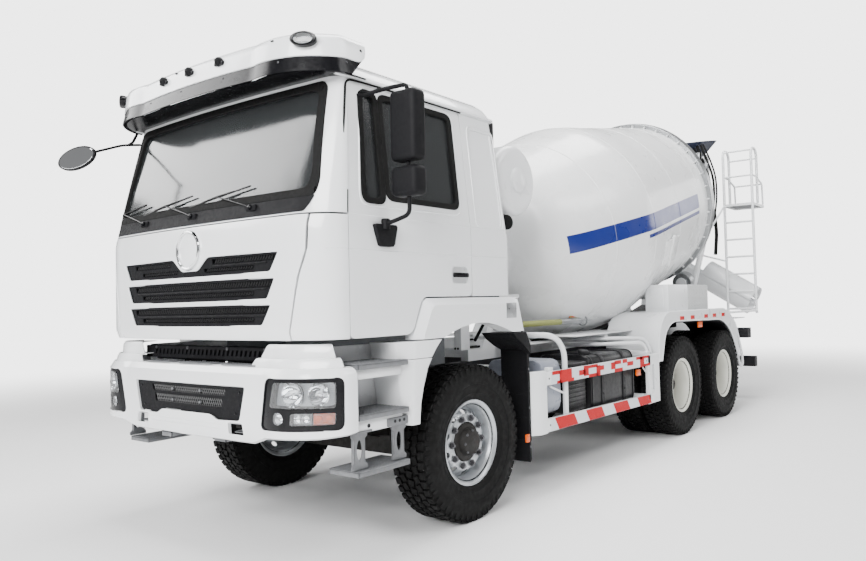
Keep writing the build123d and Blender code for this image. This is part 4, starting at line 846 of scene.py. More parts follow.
stripe = {"blue": (0.004, 0.016, 0.17), "wide": (-0.06, 0.115), "thin": (-0.135, -0.095),
    "wideRun": (1.12, 4.05), "thinRun": (2.25, 4.05)}
drumPaint = stripedDrum()
axisPlace = standing(drumRoot, drumLine)
shellMesh = grown(drumTree, Length=last - first, Widest=widest, Steps=drum["steps"],
    Round=drum["round"] + 1, Finish=drumPaint)
shellMesh.name = "drumShell"
shellMesh.transform(axisPlace @ Matrix.Translation((0, 0, first)))
shellMesh.flip_normals()
shellMesh.polygons.foreach_set("use_smooth", [True] * len(shellMesh.polygons))
drumShell = added("drumShell", shellMesh)
wall = drumShell.modifiers.new("wall", "SOLIDIFY")
wall.thickness, wall.offset = drum["wall"], -1
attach(drumShell, "drum")
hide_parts("drum_shell", "drum_head")

at, wide, ringRadius = drum["ringAt"], drum["ringWide"] / 2, 1.12
addLathe([(at - wide, 1.045), (at - wide, ringRadius - 0.004), (at - wide + 0.004, ringRadius),
    (at + wide - 0.004, ringRadius), (at + wide, ringRadius - 0.004), (at + wide, 1.045)], drumRoot,
    drumLine, 128, 0, closed=True)
mesh = grown(ringTree, Count=40, Radius=1.07, Block=(0.06, 0.012, 0.2), Lift=at, Finish=drumPaint)
addMesh(mesh, axisPlace, 1)
make("drumRing", [steelGrey, drumPaint], "drum", 0, replaces=["drum_ring"])


def drumRadius(along):
    for (a, ra), (b, rb) in zip(drum["form"], drum["form"][1:]):
        if a <= along <= b:
            return ra + (rb - ra) * (along - a) / (b - a)


for at in drum["seams"]:
    r = drumRadius(at)
    addLathe([(at - 0.008, r - 0.004), (at - 0.004, r + 0.003), (at + 0.004, r + 0.003),
        (at + 0.008, r - 0.004)], drumRoot, drumLine, 128, 0, closed=True)
mouth, r = last, drum["form"][-1][1]
addLathe([(mouth - 0.05, r + 0.02), (mouth - 0.05, r + 0.034), (mouth - 0.006, r + 0.012),
    (mouth - 0.006, r - 0.006)], drumRoot, drumLine, 96, 0, closed=True)
flange = grown(nutTree, Count=16, Radius=0.235, Across=0.018, High=0.016, Stud=0.009, Finish=nutSteel)
addMesh(flange, axisPlace @ Matrix.Translation((0, 0, first - 0.001)), 1)
trim, bm = bm, bmesh.new()  # the hatch is built flat, then set on the drum
addBox((-0.2, -0.15, 0), (0.2, 0.15, 0.024), 0.012)
addBox((-0.03, -0.19, 0.01), (0.03, 0.19, 0.04), 0.006)
hatch = bpy.data.meshes.new("hatch")
bm.to_mesh(hatch)
bm.free()
bm = trim
around = math.radians(200)
addMesh(hatch, axisPlace @ Matrix.Rotation(around, 4, "Z") @ Matrix.Translation((1.148, 0,
    2.95)) @ Matrix.Rotation(math.radians(90), 4, "Y"))
make("drumSeams", [drumPaint, nutSteel], "drum", 0)
for phase in (0.0, math.pi):
    mesh = grown(bladeTree, Length=1.25, Pitch=1.1, **{"Outer Start": 1.04, "Outer End": 0.515,
        "Phase": phase}, Finish=steelGrey)
    addMesh(mesh, axisPlace @ Matrix.Translation((0, 0, 4.5)))
blades = make("drumBlades", [steelGrey], "drum", 0)
thick = blades.modifiers.new("thick", "SOLIDIFY")
thick.thickness, thick.offset = 0.006, 0
print("drum made")

# cab: one plan curve at every height gives lid, corner panels, screen frame, doors and back
cab = {
    "plan": (  # height, nose, half width, where the corner ends, half width of the flat front
        (1.335, 1.415, 1.185, 1.175, 0.9), (1.375, 1.438, 1.194, 1.18, 0.9), (2.0, 1.438, 1.194, 1.18, 0.9),
        (2.055, 1.42, 1.194, 1.18, 0.905), (2.11, 1.395, 1.188, 1.172, 0.92), (2.885, 1.19, 1.11, 1.09,
        0.97)),
    "bow": 0.035, "belt": 2.055, "groove": 1.855, "creases": (1.851, 1.855, 1.859, 2.058, 2.061),
        "top": 2.885,
    "lid": ((0.92, 1.335), (0.997, 1.7), (1.05, 1.85), (1.06, 2.055)),
    "grille": ((0.854, 0.779, 1.855, 1.735), (0.82, 0.751, 1.704, 1.576), (0.786, 0.706, 1.548, 1.421)),
    "screen": ((1.055, 2.165), (1.07, 2.25), (1.015, 2.83), (0.975, 2.868)),
    "door": ((1.18, 1.337), (1.178, 2.06), (1.09, 2.883), (0.03, 2.883), (0.03, 1.572), (0.554, 1.572),
        (0.655, 1.337)),
    "quarter": ((1.045, 2.15), (0.868, 2.15), (0.868, 2.828), (1.0, 2.828)),
    "window": ((0.835, 2.18), (0.145, 2.18), (0.145, 2.828), (0.835, 2.828)),
}
heights = [row[0] for row in cab["plan"]]


def planAt(z):
    return [float(np.interp(z, heights, [row[k] for row in cab["plan"]])) for k in range(1, 5)]


# u runs 0 to 1 over the flat front, 1 to 2 round the corner, then metres along the side
def skinAt(u, z, inset=0.0):
    nose, half, corner, flat = planAt(z)
    nose, half = nose - inset, half - inset
    way, u = (-1 if u < 0 else 1), abs(u)
    if u <= 1:
        return Vector((nose - cab["bow"] * u * u, way * flat * u, z))
    if u <= 2:
        t = (u - 1) * math.pi / 2
        reach = nose - cab["bow"] - corner
        return Vector((corner + reach * math.cos(t), way * (flat + (half - flat) * math.sin(t)), z))
    return Vector((corner - (u - 2), way * half, z))


def frontU(y, z):
    _, half, _, flat = planAt(z)
    if abs(y) <= flat:
        return y / flat
    return math.copysign(1 + math.asin(min(1.0, (abs(y) - flat) / (half - flat))) * 2 / math.pi, y)


def asU(line):  # an outline of (y, z) as the skin's own (u, z)
    return [(frontU(y, z), z) for y, z in line]


def onSkin(lift, groove=0.0):
    def spot(u, z):
        return skinAt(u, z, -lift + (groove if abs(z - cab["groove"]) < 0.002 else 0))
    return spot


def sideSkin(out, lift, groove=0.0):  # the same skin seen from the side, by (x, z)
    def spot(x, z):
        _, half, corner, _ = planAt(z)
        deep = groove if abs(z - cab["groove"]) < 0.002 else 0
        crease = 0.004 if z > cab["belt"] + 0.004 else 0
        return Vector((min(x, corner + 0.004), out * (half + lift - deep - crease), z))
    return spot


def bent(points, radius):
    return [tuple(p)[:2] for p in rounded(points, radius, 5)]


def mirrored(points):
    return [(a, b) for a, b in points] + [(-a, b) for a, b in reversed(points)]


# front lid with its three rows of grille, closed plates with slotted windows
lidEdge = [(half - 0.005, z) for half, z in cab["lid"]]
lidOutline = asU(stepped(mirrored(lidEdge), 0.05))


def onLid(deep):
    return lambda y, z: skinAt(frontU(y, z), z, deep)


rows = []
for high, low, top, bottom in cab["grille"]:
    notch = [(0.19, top + 0.003), (0.085, 1.776), (-0.085, 1.776),
        (-0.19, top + 0.003)] if top > 1.8 else []
    rows.append(bent([(-low, bottom), (low, bottom), (high, top)] + notch + [(-high, top)], 0.022))
addPanel(lidOutline, [asU(row) for row in rows], onSkin(0), onSkin(-0.028), 0.05)
for row in rows:  # a turned-in lip round each opening
    addTube([skinAt(frontU(y, z), z, 0.004) for y, z in row], 0.006, 0, 8, 0, closed=True)
make("lidPanel", [cabPaint], "lid", replaces=["front_lid"], edge=0.004)
for (high, low, top, bottom), row in zip(cab["grille"], rows):
    mid = (top + bottom) / 2
    upper, lower = (mid + 0.01, top - 0.016), (bottom + 0.022, mid - 0.012)
    windows = [(-0.7, 0.8, upper), (-0.6, 0.62, lower)]
    if top > 1.8:
        windows = [(-0.7, -0.235, upper), (0.235, 0.8, upper), (-0.6, -0.15, lower), (0.15, 0.62, lower)]
    wide = [bent([(one, down), (two, down), (two + 0.012, up), (one - 0.012, up)], 0.01)
        for one, two, (down, up) in windows]
    addPanel(asU(row), [asU(window) for window in wide], onSkin(-0.012), onSkin(-0.018), 0.07)
    addPanel(asU(row), [], onSkin(-0.034), onSkin(-0.038), 0.1)
    for one, two, (down, up) in windows:
        addSlots(onLid(0.02), one + 0.01, two - 0.005, down + 0.002, up - 0.002, 0.0235, 0.02, 0.0052, 1)
    ridge = [skinAt(frontU(y, mid), mid, 0.012) for y in np.linspace(-0.68, 0.74, 15) if top < 1.8
        or y > 0.16]
    addTube(ridge, 0.007, 0, 8, 0, flat=0.7)
make("lidGrille", [plasticBlack, glossBlack], "lid", replaces=["grille_inserts"])
spot = skinAt(0, 1.906, 0)
addLathe([(-0.006, 0.108), (0.008, 0.108), (0.016, 0.112), (0.019, 0.118), (0.016, 0.124), (0.006, 0.128),
    (-0.006, 0.128)], spot, (1, 0, 0.02), 64, 0, closed=True)
make("lidRing", [chrome], "lid")
addLathe([(-0.006, 0.11), (0.004, 0.108), (0.009, 0.07), (0.01, 0)], spot, (1, 0, 0.02), 48)
make("lidBoss", [cabPaint], "lid")

# corner panels between lid and doors
for way in (1, -1):
    inner = [(frontU(way * (half + 0.008), z), z)
        for half, z in ((np.interp(z, *zip(*[(b, a) for a, b in cab["lid"]])), z)
        for z in np.linspace(1.337, 2.053, 16))]
    outline = inner + [(way * 1.992, 2.052), (way * 1.992, 1.337)]
    addPanel(outline, [], onSkin(0, 0.004), onSkin(-0.028), 0.06,
        folds=[((way * 1.62, cab["groove"] + d), (way * 1.994, cab["groove"] + d))
        for d in (-0.004, 0, 0.004)])
make("cornerPanels", [cabPaint], "cab", replaces=["corner_panels"], edge=0.003)

# frame round the windscreen, door posts and quarter panels
screenHole = bent(mirrored(cab["screen"]), 0.11)
outline = [(-1.995, 2.063), (1.995, 2.063), (1.995, cab["top"] + 0.002), (-1.995, cab["top"] + 0.002)]
holeU = asU(screenHole)
addPanel(outline, [holeU], onSkin(0), onSkin(-0.05), 0.05)
rearLine = ((1.572, -0.452), (2.0, -0.452), (2.885, -0.372))


def backX(z):
    return float(np.interp(z, *zip(*rearLine)))


press = ((-0.065, 2.085), (-0.365, 2.085), (-0.345, 2.78), (-0.065, 2.78))
for side, out in sides:
    outline = [(0.024, 1.572), (0.024, 2.883)] + [(backX(z) + 0.05, z) for z in (2.883, 2.6, 2.3, 2.0, 1.8,
        1.572)]
    hole = bent(press, 0.05)
    addPanel(outline, [hole], sideSkin(out, 0, 0.004), sideSkin(out, -0.05), 0.05,
        folds=[((0.022, z), (backX(z) + 0.051, z)) for z in cab["creases"]])
    addPanel(bent([(a, b) for a, b in press], 0.05), [], sideSkin(out, -0.009), sideSkin(out, -0.03), 0.08)
    ring = [sideSkin(out, 0.001)(x, z) for x, z in bent([(-0.045, 2.062), (-0.385, 2.062), (-0.362, 2.803),
        (-0.045, 2.803)], 0.06)]
    addTube(ring, 0.005, 0, 8, 0, closed=True)
    levels = [1.572, 1.8, 2.0, 2.2, 2.4, 2.6, 2.883]  # rounded rear corner, then half of the back
    cornerRows = []
    for z in levels:
        half = planAt(z)[1] - 0.004 * (z > cab["belt"])
        edgeX = backX(z)
        arc = [(edgeX + 0.05 - 0.05 * math.sin(t), half - 0.05 + 0.05 * math.cos(t))
            for t in np.linspace(0, math.pi / 2, 7)]
        outerLine = arc + [(edgeX, y) for y in (0.8, 0.4, 0.0)]
        innerLine = [(x + 0.04, min(y, half - 0.04)) for x, y in reversed(outerLine)]
        cornerRows.append([(x, out * y, z) for x, y in outerLine + innerLine])
    addRings(cornerRows)
make("cabFrame", [cabPaint], "cab", replaces=["cab_shell"], edge=0.003)

# roof: rings that close in towards the crown
roofRings = (  # half width, front, back, height
    (1.113, 1.195, -0.385, 2.876), (1.113, 1.195, -0.385, 2.89), (1.096, 1.178, -0.378, 2.925),
    (1.062, 1.145, -0.366, 2.972), (1.0, 1.08, -0.34, 3.018), (0.92, 0.985, -0.29, 3.048),
    (0.8, 0.82, -0.21, 3.068), (0.56, 0.56, -0.04, 3.08))
rings = []
for half, front, rear, z in roofRings:
    flat = half - 0.14
    ring = []
    for way in (1, -1):
        ends = np.linspace(0, math.pi / 2, 9)
        cornerArc = [(front - 0.035 - 0.095 + 0.095 * math.cos(t), flat + 0.14 * math.sin(t)) for t in ends]
        bow = [(front - 0.035 * k * k, flat * k) for k in (0.0, 0.35, 0.7)]
        rearArc = [(rear + 0.06 - 0.06 * math.sin(t), half - 0.06 + 0.06 * math.cos(t)) for t in ends]
        halfRing = bow + cornerArc + [(x, half) for x in (0.6, 0.2)] + rearArc + [(rear, half * k)
            for k in (0.6, 0.3)]
        ring += [(x, y, z) for x, y in halfRing] if way > 0 else [(rear, 0, z)] + [(x, -y, z)
            for x, y in reversed(halfRing[1:])]
    rings.append(ring)
addRings(rings)
for x in (-0.22, 0.22, 0.66):  # pressed ribs across the crown
    addTube([(x, y, 3.066 - 0.012 * abs(y / 0.6) ** 3) for y in np.linspace(-0.62, 0.62, 15)], 0.02, 0, 8,
        0, flat=0.8)
make("cabRoof", [cabPaint], "cab", sharp=60)
for side, out in sides:  # rain gutter over the doors, black seal below it
    path = [(1.178, out * 1.1, 2.893), (1.05, out * 1.121, 2.893), (0.3, out * 1.121, 2.893),
        (-0.36, out * 1.121, 2.893), (-0.388, out * 1.09, 2.89)]
    addTube(path, 0.011, 0.03, 8, 0, flat=0.8)
    path = [(1.19, out * 1.15, 2.2), (1.112, out * 1.118, 2.872), (0.9, out * 1.117, 2.881),
        (0.02, out * 1.117, 2.881)]
    addTube(path, 0.007, 0.05, 8, 1)
    path = [sideSkin(out, 0.0)(x, z) for x, z in ((1.184, 2.064), (1.178, 2.2))]
    addTube(path, 0.006, 0, 8, 1)
make("rainGutter", [cabPaint, rubberBlack], "cab")

# windscreen in its thick rubber, with the black band along the bottom
glassLine = bent(mirrored([(y - 0.045, z + (0.045 if z < 2.5 else -0.045)) for y, z in cab["screen"]]), 0.1)
glassU = asU(glassLine)
addPanel([(frontU(y * 1.01, z), z) for y, z in glassLine], [], onSkin(-0.016), onSkin(-0.022), 0.09)
make("screenGlass", [windowGlass], "cab", replaces=["cab_glass"])
ringU = [(frontU(y * 1.006, z), z) for y, z in bent(
    mirrored([(y + 0.006, z + (-0.008 if z < 2.5 else 0.006)) for y, z in cab["screen"]]), 0.115)]
addPanel(ringU, [glassU], onSkin(0.008), onSkin(-0.02), 0.05)
make("screenRubber", [rubberBlack], "cab", edge=0.006)
band = bent([(-1.26, 2.072), (1.26, 2.072), (1.38, 2.168), (-1.38, 2.168)], 0.03)
addPanel(band, [], onSkin(0.006), onSkin(-0.004), 0.06)
for y in (-0.62, -0.02, 0.58):  # wiper feet, arms and blades
    spot = skinAt(frontU(y, 2.13), 2.13, -0.012)
    addBox(spot - Vector((0.014, 0.045, 0.02)), spot + Vector((0.008, 0.045, 0.018)), 0.008, 0)
    addLathe([(0, 0.016), (0.016, 0.016), (0.02, 0.01), (0.02, 0)], spot + Vector((0.002, 0, 0)),
        (1, 0, 0.3), 16, 1)
    tip = skinAt(frontU(y - 0.36, 2.235), 2.235, -0.02)
    addTube([spot + Vector((0.01, 0, 0)), spot + Vector((0.006, -0.05, 0.02)), tip], 0.0065, 0.03, 8, 1,
        flat=0.7)
    ends = [skinAt(frontU(y - 0.36 + d, 2.235 + d * 0.13), 2.235 + d * 0.13, -0.006)
        for d in (-0.3, -0.15, 0, 0.15, 0.3)]
    addTube(ends, 0.006, 0, 6, 1)
    addTube([ends[1] + Vector((0.006, 0, 0)), tip + Vector((0.002, 0, 0)), ends[3] + Vector((0.006, 0, 0))],
        0.005, 0, 6, 1)
make("wiperSet", [plasticBlack, glossBlack], "cab", replaces=["wipers"])
print("cab front made")

# doors
for side, out in sides:
    outline = [tuple(p)[:2] for p in rounded([(x - 0.002 * (x > 1), z) for x, z in cab["door"]], 0.05, 6)]
    quarter, window = bent(cab["quarter"], 0.055), bent(cab["window"], 0.06)
    handle = bent([(0.075, 1.66), (0.245, 1.66), (0.245, 1.775), (0.075, 1.775)], 0.03)
    folds = [((0.031, z), (1.176, z)) for z in cab["creases"]]
    addPanel(outline, [quarter, window, handle], sideSkin(out, 0, 0.004), sideSkin(out, -0.045), 0.05,
        folds=folds)
    addPanel(bent([(0.07, 1.655), (0.25, 1.655), (0.25, 1.78), (0.07, 1.78)], 0.03), [],
        sideSkin(out, -0.022), sideSkin(out, -0.03), 0.05)
    ring = [sideSkin(out, 0.0)(x, z) for x, z in bent([(1.078, 2.118), (0.112, 2.128), (0.112, 2.86),
        (1.0, 2.86)], 0.08)]
    addTube(ring, 0.006, 0, 8, 0, closed=True)
    make("doorSkin." + side, [cabPaint], "door_" + side, replaces=[side + "_door"], edge=0.003)
    for line in (cab["quarter"], cab["window"]):
        middle = Vector((sum(p[0] for p in line) / 4, sum(p[1] for p in line) / 4))
        widened = [tuple(middle + (Vector(p) - middle) * 1.0 + Vector((math.copysign(0.016,
            p[0] - middle.x), math.copysign(0.016, p[1] - middle.y)))) for p in line]
        shrunk = [tuple(Vector(p) - Vector((math.copysign(0.022, p[0] - middle.x),
            math.copysign(0.022, p[1] - middle.y)))) for p in line]
        addPanel(bent(widened, 0.07), [bent(shrunk, 0.045)], sideSkin(out, 0.007), sideSkin(out, -0.02),
            0.06)
    addBox(sideSkin(out, 0.004)(0.085, 1.702) - Vector((0, 0.01, 0)), sideSkin(out, 0.024)(0.235, 1.734),
        0.008, 1, 3)
    addLathe([(0, 0.016), (0.028, 0.016), (0.03, 0.013), (0.03, 0)], sideSkin(out, -0.004)(0.112, 1.718),
        (0, out, 0), 20, 1)
    make("doorRubber." + side, [rubberBlack, glossBlack], "door_" + side, edge=0.003)
    for line in (cab["quarter"], cab["window"]):
        addPanel(bent(line, 0.05), [], sideSkin(out, -0.014), sideSkin(out, -0.019), 0.12)
    make("doorGlass." + side, [windowGlass], "door_" + side,
        replaces=[side + "_door_glass"])
    # mirrors: two rounded housings on bent tubes
    x0, x1, y0, y1 = 0.822, 0.94, out * 1.292, out * 1.498
    addBox((x0, y0, 2.375), (x1, y1, 2.798), 0.034, 0, 5)
    addBox((x0, y0, 2.165), (x1, y1, 2.345), 0.034, 0, 5)
    addBox((x0 - 0.003, out * 1.318, 2.4), (x0 + 0.02, out * 1.472, 2.772), 0.006, 1)
    addBox((x0 - 0.003, out * 1.318, 2.19), (x0 + 0.02, out * 1.472, 2.32), 0.006, 1)
    addTube([(0.88, out * 1.395, 2.78), (0.88, out * 1.395, 2.835), (0.9, out * 1.28, 2.835),
        (0.93, out * 1.135, 2.82), (0.99, out * 1.112, 2.815)], 0.013, 0.04, 12, 0)
    addTube([(0.92, out * 1.21, 2.832), (0.96, out * 1.13, 2.8), (1.02, out * 1.112, 2.79)], 0.012, 0.03,
        10, 0)
    addTube([(0.88, out * 1.395, 2.18), (0.88, out * 1.395, 2.06), (0.885, out * 1.3, 2.035),
        (0.91, out * 1.215, 2.01)], 0.013, 0.04, 12, 0)
    addTube([(0.88, out * 1.395, 2.335), (0.88, out * 1.395, 2.385)], 0.012, 0, 10, 0)
    addLathe([(-0.03, 0.026), (0.03, 0.026), (0.034, 0.02), (0.034, 0)], (0.905, out * 1.222, 2.012),
        (0, 0, 1), 20, 0)
    cover = [(0.8, 2.012), (0.992, 2.012), (0.95, 1.885), (0.935, 1.878), (0.845, 1.878), (0.83, 1.885)]
    addPrism(bent(cover, 0.012), onSide, out * 1.188, out * 1.224, 0.008)
    make("mirrorArm." + side, [plasticBlack, mirrorGlass], "door_" + side,
        replaces=[side + "_mirror"])
print("doors made")

# visor: a white band over a tinted one, bent round the roof
visor = {
    "line": ((0.97, 1.143), (1.15, 1.143), (1.297, 1.01), (1.378, 0.62), (1.41, 0.0)),
    "white": ((0.0, 0.012, 2.982), (0.1, 0.0, 3.082), (0.124, -0.008, 3.106), (0.142, -0.022, 3.12),
        (0.156, -0.04, 3.127), (0.26, -0.14, 3.13)),
    "tinted": ((2.89, 0.026, 2.89), (2.995, 0.002, 2.995)), "rivets": (-1.22, -0.92, -0.5, -0.1, 0.35, 0.85,
        1.25),
}
onVisor, visorEnd = lineFace(bowPath(*visor["line"]))
outline = bent([(-visorEnd, 0), (visorEnd, 0), (visorEnd, 0.26), (-visorEnd, 0.26)], 0.09)
addPanel(outline, [], folded(onVisor, visor["white"]), folded(onVisor, visor["white"], 0.008), 0.026)
make("visorBand", [cabPaint], "cab", replaces=["sun_visor"], edge=0.003)
outline = [(-visorEnd + 0.13, 2.89), (visorEnd - 0.13, 2.89), (visorEnd - 0.03, 2.995),
    (-visorEnd + 0.03, 2.995)]
addPanel(outline, [], folded(onVisor, visor["tinted"]), folded(onVisor, visor["tinted"], 0.005), 0.04)
for y in (-0.7, 0.0, 0.7):  # brackets back to the roof
    addBox((1.05, y - 0.015, 2.99), (1.36 + 0.02 * (y == 0), y + 0.015, 3.03), 0.004)
for s in visor["rivets"]:
    addLathe([(0, 0.007), (0.003, 0.006), (0.004, 0)], onVisor(s, 0.011, 2.955), outward(onVisor, s), 10, 1)
for y in (-0.313, 0.0, 0.313):  # marker lamps
    spot = onVisor(y, 0.0, 3.062)
    addBox(spot + Vector((-0.004, -0.042, -0.02)), spot + Vector((0.022, 0.042, 0.008)), 0.008, 0, 3)
    addLathe([(0, 0.03), (0.02, 0.028), (0.036, 0.018), (0.042, 0)], spot, (1, 0, 0.5), 20, 2)
for s in (-1.26, -0.17, 0.28, 0.8):
    spot = onVisor(s, 0.001, 3.092)
    addBox(spot - Vector((0.008, 0.011, 0.004)), spot + Vector((0.004, 0.011, 0.004)), 0.002)
for way in (1, -1):  # oval work lamps and a drain hole at each rear end
    s = way * 1.012
    spot, out = onVisor(s, 0.0, 3.07), outward(onVisor, s)
    addLathe([(-0.03, 0.066), (0.018, 0.078), (0.034, 0.079), (0.042, 0.074), (0.04, 0.06), (0.03, 0.058)],
        spot, out + Vector((0, 0, 0.1)), 40, 0, flat=0.56)
    addLathe([(0.03, 0.06), (0.04, 0.056), (0.045, 0.03), (0.046, 0)], spot, out + Vector((0, 0, 0.1)), 40,
        3, flat=0.56)
    addLathe([(0.0, 0.011), (0.002, 0.01), (0.0022, 0)], onVisor(way * (visorEnd - 0.04), 0.002, 3.055),
        (0, way, 0), 16, 0)
under = [(x - 0.004, y) for x, y in bowPath(*visor["line"])]
addPrism(under, onPlan, 2.893, 2.899, 0, 0)
make("visorTrim", [glossBlack, nutSteel, plasticBlack, lampGlass], "cab")
ringWay = Vector((0.52, -0.795, -0.31)).normalized()
faceWay = Vector((0.83, 0.5, 0.1))
faceWay = (faceWay - ringWay * faceWay.dot(ringWay)).normalized()
shortWay = faceWay.cross(ringWay)
centre = Vector((1.63, -1.07, 2.62))


def addOval(a, b, near, far, paint):  # an oval plate with softened edges, square to faceWay
    layers = ((near, 0.96), (near + 0.004, 1.0), (far - 0.004, 1.0), (far, 0.96))
    addRings([[centre + faceWay * depth + ringWay * p + shortWay * q for p, q in ellipse(0, 0, a * k, b * k,
        40)] for depth, k in layers], paint)


addOval(0.14, 0.08, -0.022, 0.006, 0)
addOval(0.131, 0.072, 0.002, 0.0085, 1)
end = centre - ringWay * 0.13 - faceWay * 0.006
addTube([(1.15, -1.1, 2.795), (1.3, -1.075, 2.765), end, centre - faceWay * 0.02], 0.009, 0.05, 10, 0)
addTube([(1.16, -1.115, 2.893), (1.215, -1.09, 2.8), (1.25, -1.083, 2.776)], 0.01, 0.02, 10, 0)
make("frontMirror", [plasticBlack, mirrorGlass], "cab", replaces=["front_mirror"])

# arch flares: a raised face with a sloping border along its front and top
flare = {
    "out": 1.239, "base": 1.196, "border": 0.048,
    "edge": ((0.649, 1.302), (0.643, 1.329), (0.546, 1.545), (0.515, 1.563), (-0.44, 1.563),
        (-0.475, 1.545), (-0.548, 1.302)),
    "arch": ((-0.4, 1.302), (-0.3, 1.334), (-0.2, 1.362), (-0.1, 1.38), (-0.01, 1.386), (0.09, 1.381),
        (0.19, 1.366), (0.29, 1.342), (0.4, 1.302)),
}


def flareOut(x, z):
    gap = 9.0
    for (ax, az), (bx, bz) in zip(flare["edge"][:5], flare["edge"][1:5]):
        a, b = Vector((ax, az)), Vector((bx, bz))
        share = max(0.0, min(1.0, (Vector((x, z)) - a).dot(b - a) / (b - a).length_squared))
        gap = min(gap, (a + (b - a) * share - Vector((x, z))).length)
    share = min(1.0, gap / flare["border"])
    return flare["base"] + (flare["out"] - flare["base"]) * share


for side, out in sides:
    creases = [((0.596, 1.304), (0.59, 1.332)), ((0.59, 1.332), (0.497, 1.527)),
        ((0.497, 1.527), (0.47, 1.515)), ((0.48, 1.515), (-0.43, 1.515))]
    addPanel(list(flare["edge"]) + list(flare["arch"]), [],
        lambda x, z: Vector((x, out * flareOut(x, z), z)), plane(onSide, out * 1.12), 0.03, folds=creases)
    addBox((-0.452, out * 1.2385, 1.405), (-0.318, out * 1.241, 1.52), 0.002, 1)
    addBox((-0.59, out * 1.08, 1.485), (-0.5, out * 1.165, 1.56), 0.008, 2)
    make("archFlare." + side, [cabPaint, steelGrey, plasticBlack], "cab",
        replaces=["arch_flares"] if out > 0 else (), edge=0.004)

# bumper: a skin bent round the nose, with pockets for grille, lamps and tow slots
bumper = {
    "line": ((1.18, 1.243), (1.25, 1.243), (1.388, 1.11), (1.464, 0.75), (1.478, 0.0)),
    "face": ((0.735, -0.022, 0.737), (0.765, -0.006, 0.765), (0.8, 0.0, 0.8), (1.12, 0.0, 1.12),
        (1.15, -0.004, 1.15), (1.168, -0.014, 1.166), (1.182, -0.03, 1.178), (1.196, -0.05, 1.183),
        (1.29, -0.145, 1.185)),
    "grille": ((0.604, 1.068), (0.55, 0.866), (0.33, 0.86), (0.27, 0.89)),
    "slot": ((0.446, 0.785), (0.588, 0.785), (0.574, 0.852), (0.44, 0.852)),
    "lamp": ((0.738, 0.83), (0.8, 1.128), (1.3, 1.13), (1.296, 0.838)),
    "upper": ((0.828, 0.962), (0.866, 1.106), (1.254, 1.106), (1.252, 0.962)),
    "lower": ((0.98, 0.868), (0.988, 0.934), (1.251, 0.936), (1.247, 0.872)),
    "tiers": (  # outline, and profile of (level, out, height)
        (((0.6, 0.0), (0.64, 0.06), (0.66, 0.2), (1.25, 0.2), (1.3, 0.06), (1.325, 0.0)),
        ((0.0, -0.046, 1.18), (0.05, -0.056, 1.226), (0.066, -0.07, 1.234), (0.2, -0.2, 1.236))),
        (((0.645, 0.0), (0.7, 0.08), (0.72, 0.22), (1.19, 0.22), (1.235, 0.08), (1.26, 0.0)),
        ((0.0, -0.085, 1.23), (0.075, -0.092, 1.304), (0.09, -0.104, 1.312), (0.22, -0.22, 1.314)))),
    "fog": (0.897, 0.902), "bowls": ((0.99, 1.036, 0.064), (1.152, 1.038, 0.058)),
}
onBumper, bumperEnd = lineFace(bowPath(*bumper["line"]))


def flipped(points, way):
    return [(way * a, b) for a, b in points]


def atBumper(deep):
    return lambda s, z: onBumper(s, -deep, z)


low = [(bumperEnd, 0.815), (1.15, 0.797), (0.78, 0.788), (0.64, 0.744)]
outline = [(-a, b) for a, b in low] + [(a, b) for a, b in reversed(low)] + bent([(bumperEnd, 0.816),
    (bumperEnd, 1.2), (1.25, 1.285), (-1.25, 1.285), (-bumperEnd, 1.2), (-bumperEnd, 0.816)], 0.06)[6:-6]
holes = [bent(mirrored(bumper["grille"]), 0.022)]
for way in (1, -1):
    holes += [bent(flipped(bumper["slot"], way), 0.012), bent(flipped(bumper["lamp"], way), 0.045)]
addPanel(outline, holes, folded(onBumper, bumper["face"]), folded(onBumper, bumper["face"], 0.022), 0.04)
for way in (1, -1):  # two-tier shoulders over the lamps
    for outline, profile in bumper["tiers"]:
        addPanel(bent(flipped(outline, way), 0.02), [], folded(onBumper, profile), folded(onBumper, profile,
            0.006), 0.03)
addBox((1.26, -0.66, 1.15), (1.426, 0.66, 1.184), 0.004)
for z in (0.812, 0.838):
    addTube([onBumper(s, 0.0, z) for s in np.linspace(-0.4, 0.4, 13)], 0.003, 0, 6)
make("bumperSkin", [cabPaint], "chassis", replaces=["front_bumper"], edge=0.004)
frameLine = bent(mirrored([(0.6, 1.064), (0.546, 0.87), (0.332, 0.864), (0.272, 0.894)]), 0.02)
windows = [bent([(-lowEnd, down), (lowEnd, down), (highEnd, up), (-highEnd, up)], 0.012)
    for lowEnd, highEnd, down, up in ((0.395, 0.41, 1.003, 1.046), (0.365, 0.38, 0.934, 0.988))]
addPanel(frameLine, windows, atBumper(0.012), atBumper(0.018), 0.06)
addPanel(frameLine, [], atBumper(0.036), atBumper(0.04), 0.1)
for lowEnd, down, up in ((0.395, 1.003, 1.046), (0.365, 0.934, 0.988)):
    for lean in (0.026, -0.026):
        addSlots(atBumper(0.02), -lowEnd, lowEnd, down, up, 0.021, lean, 0.0032, 1)
for y, z in ((-0.152, 1.025), (0.152, 1.025), (-0.152, 0.955), (0.152, 0.955)):
    spot = onBumper(y, -0.012, z)
    addBox(spot - Vector((0.004, 0.012, 0.01)), spot + Vector((0.008, 0.012, 0.01)), 0.003, 2)
